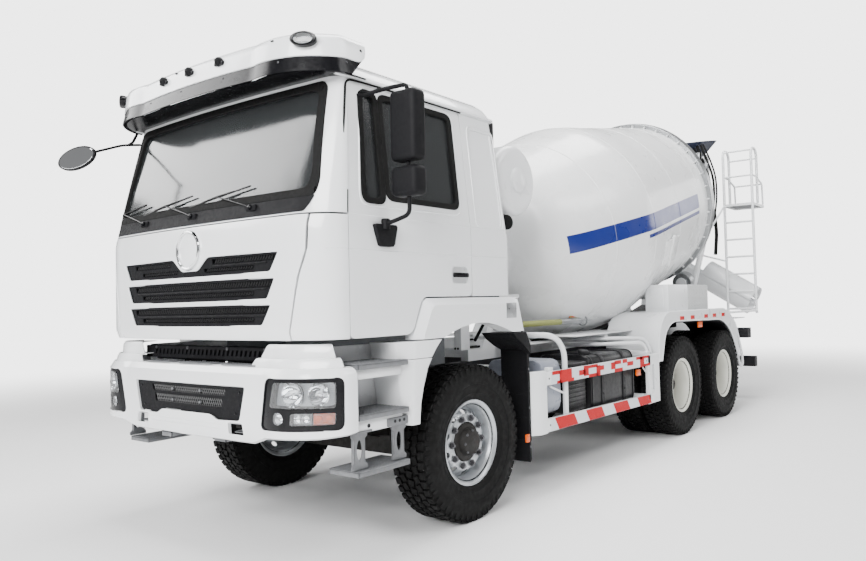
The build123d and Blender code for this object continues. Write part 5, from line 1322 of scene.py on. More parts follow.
for way in (1, -1):
    for y, z in ((0.5, 0.905), (0.54, 1.03)):
        addLathe([(0, 0.008), (0.004, 0.007), (0.005, 0)], onBumper(way * y, -0.012, z), (1, 0, 0), 12, 1)
    slot = bent(flipped([(0.425, 0.772), (0.608, 0.772), (0.592, 0.866), (0.422, 0.866)], way), 0.01)
    addPanel(slot, [], atBumper(0.1), atBumper(0.105), 0.08)
    spot = onBumper(way * 0.515, -0.055, 0.795)
    addBox(spot - Vector((0.03, 0.045, 0.008)), spot + Vector((0.03, 0.05, 0.006)), 0.004, 2)
    addTube([spot + Vector((0, 0.02, 0)), spot + Vector((0.02, 0.02, 0.05)),
        spot + Vector((-0.03, 0.02, 0.06))], 0.01, 0.02, 8, 2)
addBox((1.3, -0.34, 0.7), (1.44, -0.22, 0.735), 0.004, 2)
addBox((1.3, 0.22, 0.712), (1.42, 0.34, 0.735), 0.004, 2)
make("bumperGrille", [plasticBlack, glossBlack, zincPlate], "chassis")

# headlamps: bezel, bowls and covers
for side, way in sides:
    circle = ellipse(*bumper["fog"], 0.036, 0.036, 20)
    holes = [bent(bumper["upper"], 0.022), bent(bumper["lower"], 0.014), circle]
    frameLine = bent([(0.742, 0.834), (0.803, 1.125), (1.297, 1.127), (1.293, 0.842)], 0.042)
    addPanel(flipped(frameLine, way), [flipped(hole, way) for hole in holes], atBumper(0.006),
        atBumper(0.022), 0.04)
    addTube([onBumper(way * s, -0.004, z) for s, z in frameLine], 0.006, 0, 8, 1, closed=True)
    addPanel(flipped(frameLine, way), [], atBumper(0.085), atBumper(0.09), 0.08)
    for hole in holes[:2]:
        walls = stepped(hole, 0.03)
        addRings([[onBumper(way * s, -d, z) for s, z in walls] for d in (0.01, 0.084)], 0, capped=False)
    make("lampBezel." + side, [glossBlack, plasticBlack], "chassis", edge=0.002)
    for s, z, r in bumper["bowls"]:
        spot, out = onBumper(way * s, -0.018, z), outward(onBumper, way * s)
        out = (out + Vector((0.6, 0, 0))).normalized()
        addLathe([(0.0, r), (-0.012, r * 0.97), (-0.04, r * 0.74), (-0.058, r * 0.4), (-0.062, 0.012),
            (-0.062, 0)], spot, out, 40)
        addLathe([(-0.06, 0.014), (-0.022, 0.014), (-0.016, 0.01), (-0.015, 0)], spot, out, 20)
        addLathe([(0.0, r), (0.004, r + 0.004), (0.0, r + 0.008), (-0.01, r + 0.006)], spot, out, 40, 0,
            closed=True)
    plate = [(0.846, 0.972), (0.876, 1.098), (1.246, 1.098), (1.244, 0.972)]
    discs = [ellipse(s, z, r + 0.003, r + 0.003, 28) for s, z, r in bumper["bowls"]]
    addPanel(flipped(bent(plate, 0.02), way), [flipped(disc, way) for disc in discs], atBumper(0.042),
        atBumper(0.046), 0.05, 1)
    for z in np.linspace(0.984, 1.086, 9):  # ribs at the outer end
        addTube([onBumper(way * 1.222, -0.03, z), onBumper(way * 1.246, -0.026, z)], 0.003, 0, 6, 1)
    addPanel(flipped([(0.984, 0.872), (0.992, 0.931), (1.104, 0.932), (1.102, 0.871)], way), [],
        atBumper(0.04), atBumper(0.044), 0.04, 1)
    for s, z in ((1.025, 0.902), (1.075, 0.902)):
        spot, out = onBumper(way * s, -0.022, z), outward(onBumper, way * s)
        addLathe([(0, 0.024), (-0.012, 0.018), (-0.018, 0.006), (-0.018, 0)], spot, out, 20)
    spot = onBumper(way * bumper["fog"][0], -0.014, bumper["fog"][1])
    addLathe([(0, 0.034), (-0.014, 0.03), (-0.034, 0.018), (-0.04, 0.006), (-0.04, 0)], spot, (1, 0, 0), 28)
    addPanel(flipped([(1.118, 0.871), (1.12, 0.932), (1.246, 0.934), (1.243, 0.872)], way), [],
        atBumper(0.03), atBumper(0.036), 0.04, 2)
    for s in (1.15, 1.212):
        spot, out = onBumper(way * s, -0.012, 0.903), outward(onBumper, way * s)
        addLathe([(-0.016, 0.022), (0, 0.02), (0.004, 0.012), (0.005, 0)], spot, out, 20, 2)
    make("lampBowls." + side, [chrome, rimSilver, amber], "chassis", replaces=["headlamps"]
        if way > 0 else ())
    for hole in holes:
        addPanel(flipped(hole, way), [], atBumper(0.003), atBumper(0.007), 0.05)
    make("lampCover." + side, [lampGlass], "chassis")

# shelf behind the bumper with its pads, slotted bar and the dark parts under the cab
shelf = {"pads": ((-0.532, -0.262), (-0.146, 0.208), (0.318, 0.644)), "barHigh": (1.206, 1.288)}
for lowEnd, highEnd in shelf["pads"]:
    addBox((1.345, lowEnd, 1.184), (1.432, highEnd, 1.192), 0.003)
    mesh = grown(rowTree, Count=int((highEnd - lowEnd) / 0.028), Rows=3, Step=(0, 0.028, 0),
        Next=(0.026, 0, 0), Start=(1.358, lowEnd + 0.016, 1.193), Block=(0.016, 0.005, 0.004),
        Turn=(0, 0, 0.7), Finish=zincPlate)
    addMesh(mesh)
make("shelfPads", [zincPlate], "chassis")
bottom, top = shelf["barHigh"]
addPanel([(-0.735, bottom), (0.735, bottom), (0.735, top), (-0.735, top)],
    [[(y, 1.228), (y + 0.022, 1.228), (y + 0.034, 1.266), (y + 0.012, 1.266)] for y in np.arange(-0.62, 0.6,
    0.046)], plane(onFront, 1.318), plane(onFront, 1.31), 0.09)
addBox((1.262, -0.735, bottom), (1.312, 0.735, bottom + 0.006), 0.001)
addBox((1.262, -0.735, top - 0.006), (1.318, 0.735, top), 0.002)
addBox((1.24, -0.7, 1.19), (1.262, 0.7, 1.284), 0.003)
for y in (-0.6, -0.22, 0.22, 0.6):
    addLathe([(0, 0.012), (0.006, 0.011), (0.008, 0)], (1.318, y, 1.276), (1, 0, 0), 12, 1)
addTube([(1.16, -0.6, 1.2), (1.16, 0.6, 1.2)], 0.024, 0, 12)
for y in (-0.46, -0.2, 0.12, 0.5):
    addBox((1.08, y, 1.06), (1.2, y + 0.03, 1.265), 0.004)
addTube([(1.19, -0.58, 1.245), (1.2, -0.3, 1.262), (1.19, 0.05, 1.24), (1.2, 0.42, 1.262),
    (1.18, 0.6, 1.23)], 0.01, 0.05, 8, 1)
make("shelfBar", [plasticBlack, nutSteel], "chassis", replaces=["front_shelf"])
print("bumper and visor made")

# entry steps: treads between white walls, a hanging step, and the guard down to the arch
steps = {
    "guard": (  # height, front edge, crease, arch edge
        (1.294, 0.812, 0.66, 0.42), (1.24, 0.802, 0.668, 0.478), (1.186, 0.792, 0.675, 0.522),
        (1.12, 0.783, 0.683, 0.566), (1.0, 0.768, 0.69, 0.612), (0.9, 0.755, 0.697, 0.638),
        (0.778, 0.735, 0.705, 0.65)),
    "tread": ((1.193, 1.164), (0.904, 1.164), (0.585, 1.174)),
}
for side, out in sides:
    addBox((0.735, out * 0.932, 0.765), (1.168, out * 0.958, 1.284), 0.004)
    for levels in (steps["guard"][:3], steps["guard"][2:]):
        rings = []
        for i, (z, front, crease, arch) in enumerate(levels):
            z = z - 0.004 * (i == 0 and z < 1.25)
            rings.append([(x, out * y, z) for x, y in ((front, 0.965), (front, 1.168),
                (front - 0.008, 1.182), (crease + 0.012, 1.232), (crease, 1.238), (arch + 0.004, 1.24),
                (arch, 1.234), (arch + 0.012, 1.1), (arch + 0.03, 0.965))])
        addRings(rings)
    addBox((0.775, out * 1.196, 0.792), (1.166, out * 1.204, 0.866), 0.003)
    addBox((0.775, out * 1.196, 1.1), (1.166, out * 1.203, 1.156), 0.003)
    for z in (1.1, 0.8):  # gussets under the treads
        addBox((1.15, out * 0.958, z), (1.166, out * 1.2, z + 0.05), 0.003)
    make("stepWalls." + side, [bodyPaint], "chassis", edge=0.003, replaces=["entry_steps"]
        if out > 0 else ())
    for z, front in steps["tread"]:
        near, far = (0.958, 1.233) if z > 0.6 else (0.985, 1.233)
        rear = 0.745
        addBox((rear, out * near, z - 0.012), (front, out * far, z - 0.005), 0.002)
        for one, two in (((rear, far - 0.006), (front, far)), ((rear, near), (front, near + 0.006)),
                ((front - 0.006, near), (front, far)), ((rear, near), (rear + 0.006, far))):
            addBox((one[0], out * one[1], z - 0.036), (two[0], out * two[1], z - 0.003), 0.002)
        lowEnd = min(out * near, out * far)
        for shift, turned in ((0.0, 0.785), (0.012, -0.785)):
            mesh = grown(rowTree, Count=16, Rows=10, Step=(0.0255, 0, 0), Next=(0, 0.0255, 0),
                Start=(rear + 0.018 + shift, lowEnd + 0.018 + shift, z - 0.003),
                Block=(0.017, 0.005, 0.004), Turn=(0, 0, turned), Finish=zincPlate)
            addMesh(mesh)
    for x in (0.81, 1.138):  # hangers with oval holes
        outline = bent([(x - 0.062, 0.8), (x + 0.062, 0.8), (x + 0.062, 0.776), (x + 0.044, 0.764),
            (x + 0.044, 0.628), (x + 0.062, 0.612), (x + 0.062, 0.59), (x - 0.062, 0.59),
            (x - 0.062, 0.612), (x - 0.044, 0.628), (x - 0.044, 0.764), (x - 0.062, 0.776)], 0.006)
        addPanel(outline, [ellipse(x, 0.7, 0.022, 0.058, 24)], plane(onSide, out * 1.204),
            plane(onSide, out * 1.196), 0.03)
        for edgeX in (x - 0.043, x + 0.037):
            addBox((edgeX, out * 1.18, 0.62), (edgeX + 0.006, out * 1.204, 0.772), 0.002)
    addBox((0.735, out * 1.176, 0.796), (0.912, out * 1.214, 0.846), 0.005)
    addBox((1.04, out * 1.176, 0.792), (1.166, out * 1.212, 0.806), 0.004)
    make("stepTreads." + side, [zincPlate], "chassis")
    for x in (0.772, 0.812, 0.852):
        addLathe([(-0.002, 0.0105), (0.001, 0.0105), (0.0012, 0)], (x, out * 1.2142, 0.824), (0, out, 0),
            16)
    for x, y, z in ((1.062, 1.2042, 0.828), (0.985, 0.9582, 1.06), (1.04, 0.9582, 0.985)):
        addLathe([(-0.002, 0.013), (0.001, 0.013), (0.0012, 0)], (x, out * y, z), (0, out, 0), 16)
    for x in (0.8, 0.9):  # beam out from the frame
        addBox((x, out * 0.43, 0.83), (x + 0.07, out * 0.93, 0.95), 0.006)
    liner = [(0.64, 0.8), (0.628, 0.9), (0.6, 1.0), (0.545, 1.13), (0.47, 1.235), (0.4, 1.296)]
    addSweep(liner, onSide, [(-0.004, out * 0.935), (-0.004, out * 1.226), (0.002, out * 1.226),
        (0.002, out * 0.935)])
    make("stepDark." + side, [frameBlack], "chassis")

    # black guard behind the front wheel, and the liner over it
    guard = [(-0.402, 1.292), (-0.588, 1.292), (-0.66, 1.2), (-0.69, 1.19), (-0.692, 0.3), (-0.672, 0.282),
        (-0.664, 0.3), (-0.66, 1.15), (-0.56, 1.187), (-0.47, 1.238)]
    addPrism(guard, onSide, out * 0.94, out * 1.188, 0.004)
    guard = [(-0.405, 1.292), (-0.586, 1.292), (-0.64, 1.19), (-0.64, 1.12), (-0.6, 1.15), (-0.556, 1.19),
        (-0.47, 1.238)]
    addPrism(guard, onSide, out * 1.186, out * 1.238, 0.004)
    for z in (0.45, 0.62, 0.8, 0.97):
        addBox((-0.668, out * 0.96, z), (-0.66, out * 1.17, z + 0.012), 0.003)
    addBox((-0.672, out * 0.43, 0.892), (-0.648, out * 0.955, 0.938), 0.004)
    for z in (1.0, 0.7, 0.4):
        addLathe([(0, 0.01), (0.004, 0.008), (0.005, 0)], (-0.675, out * 1.189, z), (0, out, 0), 10, 1)
    make("wheelGuard." + side, [plasticBlack, nutSteel], "chassis",
        replaces=["front_mudguards"] if out > 0 else ())
    arch = [(a, b + 0.004) for a, b in flare["arch"]]
    addSweep(arch, onSide, [(0.0, out * 1.124), (0.0, out * 1.236), (-0.004, out * 1.236),
        (-0.004, out * 1.124)])
    make("archLiner." + side, [plasticBlack], "cab")
print("steps and arches made")

# side guards: taped bars between a folded front post and a slotted rear post, with two hoops
guard = {
    "top": ((-0.85, 0.852, 0.957), (-3.09, 0.841, 0.947)),
    "low": ((-0.85, 0.483, 0.588), (-3.09, 0.458, 0.548)),
    "lean": 0.045, "bands": ((-0.988, -1.303), (-1.508, -1.801), (-2.026, -2.327), (-2.549, -2.829)),
    "blocks": (  # x from and to, share of the bar's height from and to
        (-0.946, -1.08, 0.72, 1.0), (-1.06, -1.264, 0.0, 1.0), (-1.02, -1.09, 0.0, 0.22),
        (-1.264, -1.3, 0.0, 0.25), (-1.387, -1.5, 0.3, 0.72), (-1.47, -1.56, 0.18, 1.0),
        (-1.56, -1.73, 0.74, 1.0), (-1.56, -1.73, 0.0, 0.26), (-1.7, -1.78, 0.0, 0.86),
        (-1.78, -1.85, 0.42, 0.8), (-1.989, -2.08, 0.3, 0.9), (-2.06, -2.2, 0.66, 1.0),
        (-2.06, -2.23, 0.0, 0.3), (-2.23, -2.33, 0.66, 1.0), (-2.33, -2.464, 0.34, 0.72),
        (-2.532, -2.68, 0.74, 1.0), (-2.62, -2.72, 0.0, 1.0), (-2.7, -2.859, 0.0, 0.24),
        (-2.72, -2.83, 0.76, 1.0)),
}


def barAt(bar, x, share):  # height on a guard bar at x, by share of its depth
    (a, lowA, highA), (b, lowB, highB) = guard[bar]
    t = (x - a) / (b - a)
    low, high = lowA + (lowB - lowA) * t, highA + (highB - highA) * t
    return low + (high - low) * share


def patch(bar, a, b, low, high, lean=0.0):  # a stretch of a bar's face from a to b
    return [(x + shift, barAt(bar, x, share)) for x, share, shift in ((a, low, -lean),
        (a, high, lean * 0.4), (b, high, lean * 0.4), (b, low, -lean))]


for side, out in sides:
    for bar in ("top", "low"):
        outline = [(x, barAt(bar, x, share)) for x, share in ((-0.845, 0), (-0.845, 1), (-2.83, 1),
            (-2.83, 0))]
        addPrism(outline, onSide, out * 1.204, out * 1.2345, 0.004)
        for x in (-0.9, -2.78):
            addLathe([(0, 0.009), (0.004, 0.007), (0.005, 0)], (x, out * 1.2345, barAt(bar, x, 0.5)),
                (0, out, 0), 10, 1)
    front = [(-0.7, 1.183), (-0.745, 1.222), (-0.772, 1.2355), (-0.862, 1.2355), (-0.862, 1.203),
        (-0.78, 1.203), (-0.714, 1.163)]
    addPrism([(x, out * y) for x, y in front], onPlan, 0.475, 0.972, 0.004)
    hole = bent([(-2.915, 0.585), (-2.972, 0.585), (-2.972, 0.845), (-2.915, 0.845)], 0.02)
    addPanel([(-2.815, 0.456), (-3.09, 0.456), (-3.09, 0.95), (-2.815, 0.95)], [hole],
        plane(onSide, out * 1.2352), plane(onSide, out * 1.203), 0.06)
    addTube([(-0.98, out * 0.43, 1.226), (-1.0, out * 1.02, 1.246), (-1.1, out * 1.176, 1.236),
        (-1.242, out * 1.18, 1.11), (-1.244, out * 1.18, 0.5)], 0.024, 0.16, 16)
    addTube([(-1.0, out * 0.43, 0.9), (-1.244, out * 1.176, 0.9)], 0.016, 0, 10)
    addTube([(-2.28, out * 0.44, 1.066), (-2.52, out * 1.06, 1.08), (-2.84, out * 1.168, 1.075),
        (-2.93, out * 1.18, 0.96), (-2.93, out * 1.18, 0.5)], 0.02, 0.13, 14)
    addTube([(-2.38, out * 0.44, 1.116), (-2.6, out * 1.05, 1.13), (-2.93, out * 1.15, 1.11),
        (-3.02, out * 1.172, 0.98), (-3.02, out * 1.172, 0.5)], 0.02, 0.13, 14)
    addTube([(-2.76, out * 1.2, 0.83), (-2.86, out * 1.195, 0.76)], 0.008, 0, 8)
    addTube([(-0.96, out * 1.2, 0.835), (-1.23, out * 1.18, 0.745)], 0.009, 0, 8)
    for x in (-0.98, -2.9):
        addBox((x - 0.035, out * 0.425, 0.94), (x + 0.035, out * 1.204, 0.985), 0.004)
        addBox((x - 0.03, out * 0.9, 0.5), (x + 0.03, out * 1.204, 0.545), 0.004)
    make("sideGuard." + side, [bodyPaint, nutSteel], "chassis", edge=0.0015,
        replaces=["side_guards"] if out > 0 else ())

    face = out * 1.2358
    for a, b, low, high in guard["blocks"]:
        addPrism(patch("top", a, b, low, high), onSide, out * 1.234, face)
    for a, b in guard["bands"]:
        addPrism(patch("low", a, b, 0.02, 0.98, guard["lean"]), onSide, out * 1.234, face)
    for bar, a, b in (("top", -0.93, -2.87), ("low", -0.9, -2.86)):
        addPrism(patch(bar, a, b, 0.03, 0.97), onSide, out * 1.234, out * 1.2352, 0, 1)
    make("guardTape." + side, [tapeRed, tapeSilver], "chassis")
    for x, y, z, half, tall in ((-2.62, 1.222, 0.79, 0.045, 0.03), (-0.64, 1.196, 0.47, 0.022, 0.032),
            (-4.418, 1.212, 1.205, 0.07, 0.045)):
        addBox((x - half, out * (y - 0.022), z - tall), (x + half, out * y, z + tall), 0.008)
    for x in (-3.757, -4.081, -4.53, -4.825, -5.153):  # reflectors along the fender
        addBox((x - 0.062, out * 1.2385, 1.268), (x + 0.062, out * 1.2435, 1.314), 0.002, 1)
    addBox((-6.385, out * 1.03, 0.945), (-6.33, out * 1.19, 1.055), 0.006)
    addBox((-6.391, out * 1.04, 0.955), (-6.379, out * 1.11, 1.045), 0.004, 1)
    make("markerLamps." + side, [amber, lampRed], "chassis")

    # grey front tank end and the black tanks behind the guard
    outline = bent([(out * 0.62, 0.6), (out * 1.165, 0.6), (out * 1.165, 1.04), (out * 0.62, 1.04)], 0.085)
    addPrism(outline, onFront, -1.19, -0.915, 0.012)
    make("frontTank." + side, [tankGrey], "chassis")
section = bent([(0.6, 0.5), (1.16, 0.5), (1.16, 1.02), (0.6, 1.02)], 0.09)
addPrism(section, onFront, -2.63, -1.73, 0.016)
for x in (-2.6, -1.76):
    addPrism(bent([(0.594, 0.494), (1.166, 0.494), (1.166, 1.026), (0.594, 1.026)], 0.094), onFront,
        x - 0.008, x + 0.008, 0.004)
for x in (-2.4, -1.96):
    addPrism(bent([(0.59, 0.492), (1.168, 0.492), (1.168, 1.028), (0.59, 1.028)], 0.094), onFront, x - 0.03,
        x + 0.03, 0.003, 1)
addLathe([(0, 0.055), (0.035, 0.055), (0.045, 0.045), (0.046, 0)], (-1.86, 1.02, 1.02), (0, 0.2, 1), 28, 1)
for y, z in ((1.171, 0.66), (1.171, 0.88)):
    for x in (-2.4, -1.96):
        addLathe([(0, 0.012), (0.006, 0.01), (0.008, 0)], (x, y - 0.003, z), (0, 1, 0), 10, 1)
make("fuelTank", [tankBlack, frameBlack], "chassis", replaces=["fuel_tank"])
addBox((-1.68, 0.64, 0.56), (-1.28, 1.14, 0.94), 0.02)
addBox((-1.69, 0.63, 0.9), (-1.27, 1.15, 0.98), 0.016)
for z in np.linspace(0.6, 0.86, 8):
    addBox((-1.66, 1.136, z), (-1.3, 1.146, z + 0.014), 0.003)
for x in (-1.6, -1.36):
    addBox((x, 1.138, 0.85), (x + 0.035, 1.158, 0.95), 0.004, 1)
addLathe([(0, 0.16), (0.05, 0.17), (0.24, 0.17), (0.27, 0.15), (0.3, 0.08), (0.31, 0)], (-2.14, 0.8, 0.76),
    (-1, 0, 0), 32)
for y, z, low, high, r in ((-0.8, 0.8, -2.63, -1.73, 0.14), (-1.05, 0.7, -2.63, -2.13, 0.09)):
    addLathe([(0, 0), (0, r * 0.45), (0.02, r * 0.86), (0.05, r), (high - low - 0.05, r),
        (high - low - 0.02, r * 0.86), (high - low, r * 0.45), (high - low, 0)], (low, y, z), (1, 0, 0), 40)
    for x in (low + 0.16, high - 0.16):
        addLathe([(0, r + 0.001), (0, r + 0.006), (0.035, r + 0.006), (0.035, r + 0.001)], (x, y, z),
            (1, 0, 0), 40, 1, closed=True)
        addBox((x, y + r - 0.02, z - 0.03), (x + 0.035, -0.42 if y > -1 else y + r + 0.05, z + 0.03), 0.004)
    addTube([(high - 0.2, y, z - r), (high - 0.2, y, z - r - 0.05)], 0.012, 0, 10, 1)
make("airTanks", [tankBlack, steelGrey], "chassis", replaces=["air_tanks"])
for out in (1, -1):  # deck plates beside the frame
    addBox((-3.16, out * 0.44, 1.176), (-1.92, out * 0.92, 1.188), 0.003)
    addBox((-2.02, out * 0.44, 1.12), (-1.3, out * 0.62, 1.132), 0.003)
    addBox((-2.6, out * 0.43, 1.126), (-2.54, out * 0.9, 1.178), 0.004)
make("deckPlates", [bodyPaint], "chassis", edge=0.002)
addTube([(-1.28, 0.6, 1.312), (-1.5, 0.6, 1.314), (-2.17, 0.6, 1.312)], 0.028, 0.03, 16)
addTube([(-2.16, 0.6, 1.312), (-2.3, 0.6, 1.318), (-2.45, 0.6, 1.3), (-2.58, 0.6, 1.306)], 0.026, 0.05, 14,
    1)
for x in np.arange(-2.57, -2.17, 0.018):
    addLathe([(0, 0.027), (0.004, 0.03), (0.008, 0.027)], (x, 0.6, 1.31), (1, 0, 0), 14, 1, closed=True)
addLathe([(0, 0.045), (0, 0.058), (0.014, 0.058), (0.014, 0.045)], (-2.64, 0.6, 1.31), (1, 0, 0), 28, 1,
    closed=True)
addTube([(-2.6, 0.6, 1.31), (-3.0, 0.585, 1.315), (-3.16, 0.57, 1.3)], 0.012, 0.04, 10, 1)
addBox((-2.36, 0.585, 1.345), (-2.5, 0.615, 1.368), 0.006, 3)
addTube([(-0.6, 1.16, 1.46), (-0.72, 1.1, 1.42), (-0.86, 1.02, 1.28), (-1.06, 0.8, 1.12),
    (-1.16, 0.6, 1.05)], 0.008, 0.08, 8, 2)
for y in (0.36, 0.39, -0.36, -0.4):
    addTube([(-0.8, y, 1.135), (-2.4, y, 1.14), (-2.6, y, 1.05), (-3.2, y, 1.04)], 0.01, 0.08, 8, 2)
make("frameHoses", [hoseGreen, steelGrey, rubberBlack, lampRed], "chassis")
print("guards and tanks made")

# fender trim: dark inner arches, drilled locker plate, looped tube behind the last wheel
fender = {"arch": ((-3.15, 0.84), (-3.215, 1.02), (-3.33, 1.18), (-3.48, 1.252), (-3.6, 1.262),
    (-5.08, 1.226), (-5.26, 1.18), (-5.44, 1.08), (-5.6, 0.9), (-5.72, 0.74))}
fender["top"] = ((-3.1, 0.86), (-3.112, 1.17), (-3.31, 1.372), (-5.285, 1.37), (-5.6, 1.215), (-5.8, 0.72))
fender["open"] = ((-3.172, 0.86), (-3.285, 1.17), (-3.5, 1.268), (-5.12, 1.238), (-5.475, 1.085),
    (-5.745, 0.72))
for side, out in sides:
    crest = [tuple(p)[:2] for p in rounded(fender["top"], 0.2, 8, False)]
    rim = [tuple(p)[:2] for p in rounded(fender["open"], 0.16, 8, False)]
    addPanel(crest + rim[::-1], [], plane(onSide, out * 1.24), plane(onSide, out * 1.232), 0.08)
    addSweep(crest, onSide, [(0.0, out * 0.62), (0.0, out * 1.236), (-0.006, out * 1.236),
        (-0.006, out * 0.62)])
    addTube([(x, out * 1.234, z) for x, z in rim], 0.01, 0, 8)
    addTube([(x, out * 1.232, z - 0.004) for x, z in crest], 0.01, 0, 8)
    addBox((-4.9, out * 0.86, 1.366), (-3.63, out * 1.14, 1.672), 0.012)
    addBox((-3.624, out * 0.93, 1.4), (-3.634, out * 1.08, 1.63), 0.004)
    make("fenderSkin." + side, [bodyPaint], "chassis", edge=0.002, replaces=["rear_fenders"]
        if out > 0 else ())
    cradle = [(-2.95, 1.12), (-5.1, 1.12), (-5.1, 1.44), (-4.6, 1.44), (-3.55, 1.185), (-3.1, 1.135)]
    addPrism(cradle, onSide, out * 0.36, out * 0.372, 0.002)
    for x in (-3.9, -4.5):
        addBox((x, out * 0.372, 1.12), (x + 0.012, out * 0.46, 1.24 - (x + 3.9) * 0.2), 0.002)
    make("cradleWeb." + side, [frameBlack], "chassis")
    addSweep(list(fender["arch"]), onSide, [(-0.01, out * 0.7), (-0.01, out * 1.215), (-0.016, out * 1.215),
        (-0.016, out * 0.7)])
    addBox((-3.9, out * 0.46, 1.14), (-4.95, out * 0.7, 1.2), 0.01)
    make("rearLiner." + side, [plasticBlack], "chassis")
    addTube([(-5.47, out * 1.19, 1.235), (-5.66, out * 1.19, 1.08), (-5.9, out * 1.19, 0.62),
        (-5.99, out * 1.19, 0.56), (-6.05, out * 1.19, 0.6), (-6.03, out * 1.19, 0.74),
        (-5.78, out * 1.19, 1.15), (-5.62, out * 1.19, 1.235)], 0.018, 0.1, 12)
    addTube([(-5.86, out * 1.19, 0.7), (-5.99, out * 1.19, 0.76)], 0.012, 0, 8)
    addBox((-5.6, out * 0.74, 1.212), (-6.33, out * 1.16, 1.224), 0.003)
    addBox((-5.78, out * 1.02, 0.93), (-6.28, out * 1.05, 1.06), 0.004)
    make("tailTube." + side, [bodyPaint], "chassis", edge=0.0)
holes = [ellipse(x, z, 0.011, 0.011, 12) for z in (1.42, 1.46, 1.565, 1.605)
    for x in np.arange(-4.78, -4.28, 0.095)]
addPanel([(-4.215, 1.38), (-4.885, 1.38), (-4.885, 1.665), (-4.215, 1.665)], holes, plane(onSide, 1.1435),
    plane(onSide, 1.14), 0.06)
addBox((-4.885, 1.139, 1.512), (-4.215, 1.1465, 1.522), 0.001)
make("lockerPlate", [platePale], "chassis")
addBox((-6.968, -0.16, 0.64), (-6.95, 0.16, 0.74), 0.003)
for out in (1, -1):
    addBox((-6.46, out * 0.88, 0.93), (-6.31, out * 1.02, 1.06), 0.012)
    addBox((-6.968, out * 0.56, 0.505), (-6.955, out * 1.08, 0.605), 0.004, 1)
    for k in range(3):
        addBox((-6.472, out * (0.885 + k * 0.046), 0.945), (-6.458, out * (0.925 + k * 0.046), 1.045),
            0.004, 2 if k else 1)
    addTube([(-6.35, out * 0.42, 1.0), (-6.39, out * 0.9, 1.0)], 0.022, 0, 10)
make("tailLamps", [frameBlack, lampRed, amber], "chassis")
print("fenders trimmed")

# ladder and platform: white tubes round a chequered step
ladder = {"x": -6.93, "rails": (0.735, 1.153), "rungs": (1.33, 0.26, 6)}
near, far = ladder["rails"]
x = ladder["x"]
for y in (near, far):
    addTube([(x, y, 1.28), (x, y, 3.66), (x - 0.06, y, 3.735), (x - 0.2, y, 3.735), (x - 0.27, y, 3.66),
        (x - 0.27, y, 2.92)], 0.02, 0.09, 14)
    addTube([(x, y, 3.32), (x - 0.27, y, 3.32)], 0.013, 0, 10)
    addTube([(x - 0.27, y, 3.3), (x - 0.52, y, 3.24), (x - 0.54, y, 2.92)], 0.014, 0.05, 10)
for k in range(ladder["rungs"][2]):
    z = ladder["rungs"][0] + ladder["rungs"][1] * k
    addTube([(x, near, z), (x, far, z)], 0.015, 0, 12)
for behind, z in ((0.02, 3.32), (0.54, 3.24), (0.02, 3.7), (0.27, 3.6)):  # cross tubes of the handrails
    addTube([(x - behind, near, z), (x - behind, far, z)], 0.013, 0, 10)
for y in (near, far):
    addTube([(x, y, 1.3), (x + 0.5, y - 0.02, 1.3), (-5.83, y - 0.04 if y > 1 else y, 1.3)], 0.016, 0.05,
        12)
    addTube([(x, y, 1.3), (x - 0.02, y, 1.27)], 0.021, 0, 10)
addTube([(x + 0.02, near, 2.88), (-6.76, 0.5, 2.45)], 0.014, 0, 10)
addTube([(x, near, 2.05), (-6.72, 0.4, 2.16)], 0.014, 0, 10)
addPanel([(x + 0.01, near - 0.01), (x - 0.55, near - 0.01), (x - 0.55, far + 0.01), (x + 0.01, far + 0.01)],
    [], plane(onPlan, 2.905), plane(onPlan, 2.895), 0.1, 1)
addSweep([(x + 0.01, near - 0.01), (x - 0.55, near - 0.01), (x - 0.55, far + 0.01), (x + 0.01, far + 0.01)],
    onPlan, [(-0.004, 2.872), (-0.004, 2.91), (0.004, 2.91), (0.004, 2.872)], 0, True)
mesh = grown(rowTree, Count=17, Rows=13, Step=(-0.031, 0, 0), Next=(0, 0.031, 0),
    Start=(x - 0.02, near + 0.02, 2.9065), Block=(0.018, 0.006, 0.004), Turn=(0, 0, 0.785),
    Finish=zincPlate)
addMesh(mesh, Matrix.Identity(4), 1)
make("ladderTubes", [bodyPaint, zincPlate], "chassis", replaces=["rear_ladder"])

# hoses, clamps and valves at the hopper
for k, (y, r) in enumerate(((0.46, 0.02), (0.52, 0.018), (0.4, 0.016), (0.56, 0.014))):
    addTube([(-6.86, y - 0.1, 3.86), (-6.8 - 0.02 * k, y, 3.62), (-6.92, y + 0.06, 3.36),
        (-6.98, y + 0.05, 3.05), (-6.92, y, 2.6)], r, 0.16, 12)
addTube([(-6.96, 0.56, 2.86), (-6.99, 0.58, 2.5), (-6.96, 0.56, 2.16)], 0.028, 0.1, 12)
addBox((-6.74, 0.36, 3.6), (-6.84, 0.46, 3.74), 0.02, 1)
addLathe([(0, 0.05), (0.08, 0.05), (0.1, 0.035), (0.1, 0)], (-6.84, 0.44, 3.52), (0.2, 1, 0), 20, 1)
make("hopperHoses", [rubberBlack, steelGrey], "chassis")

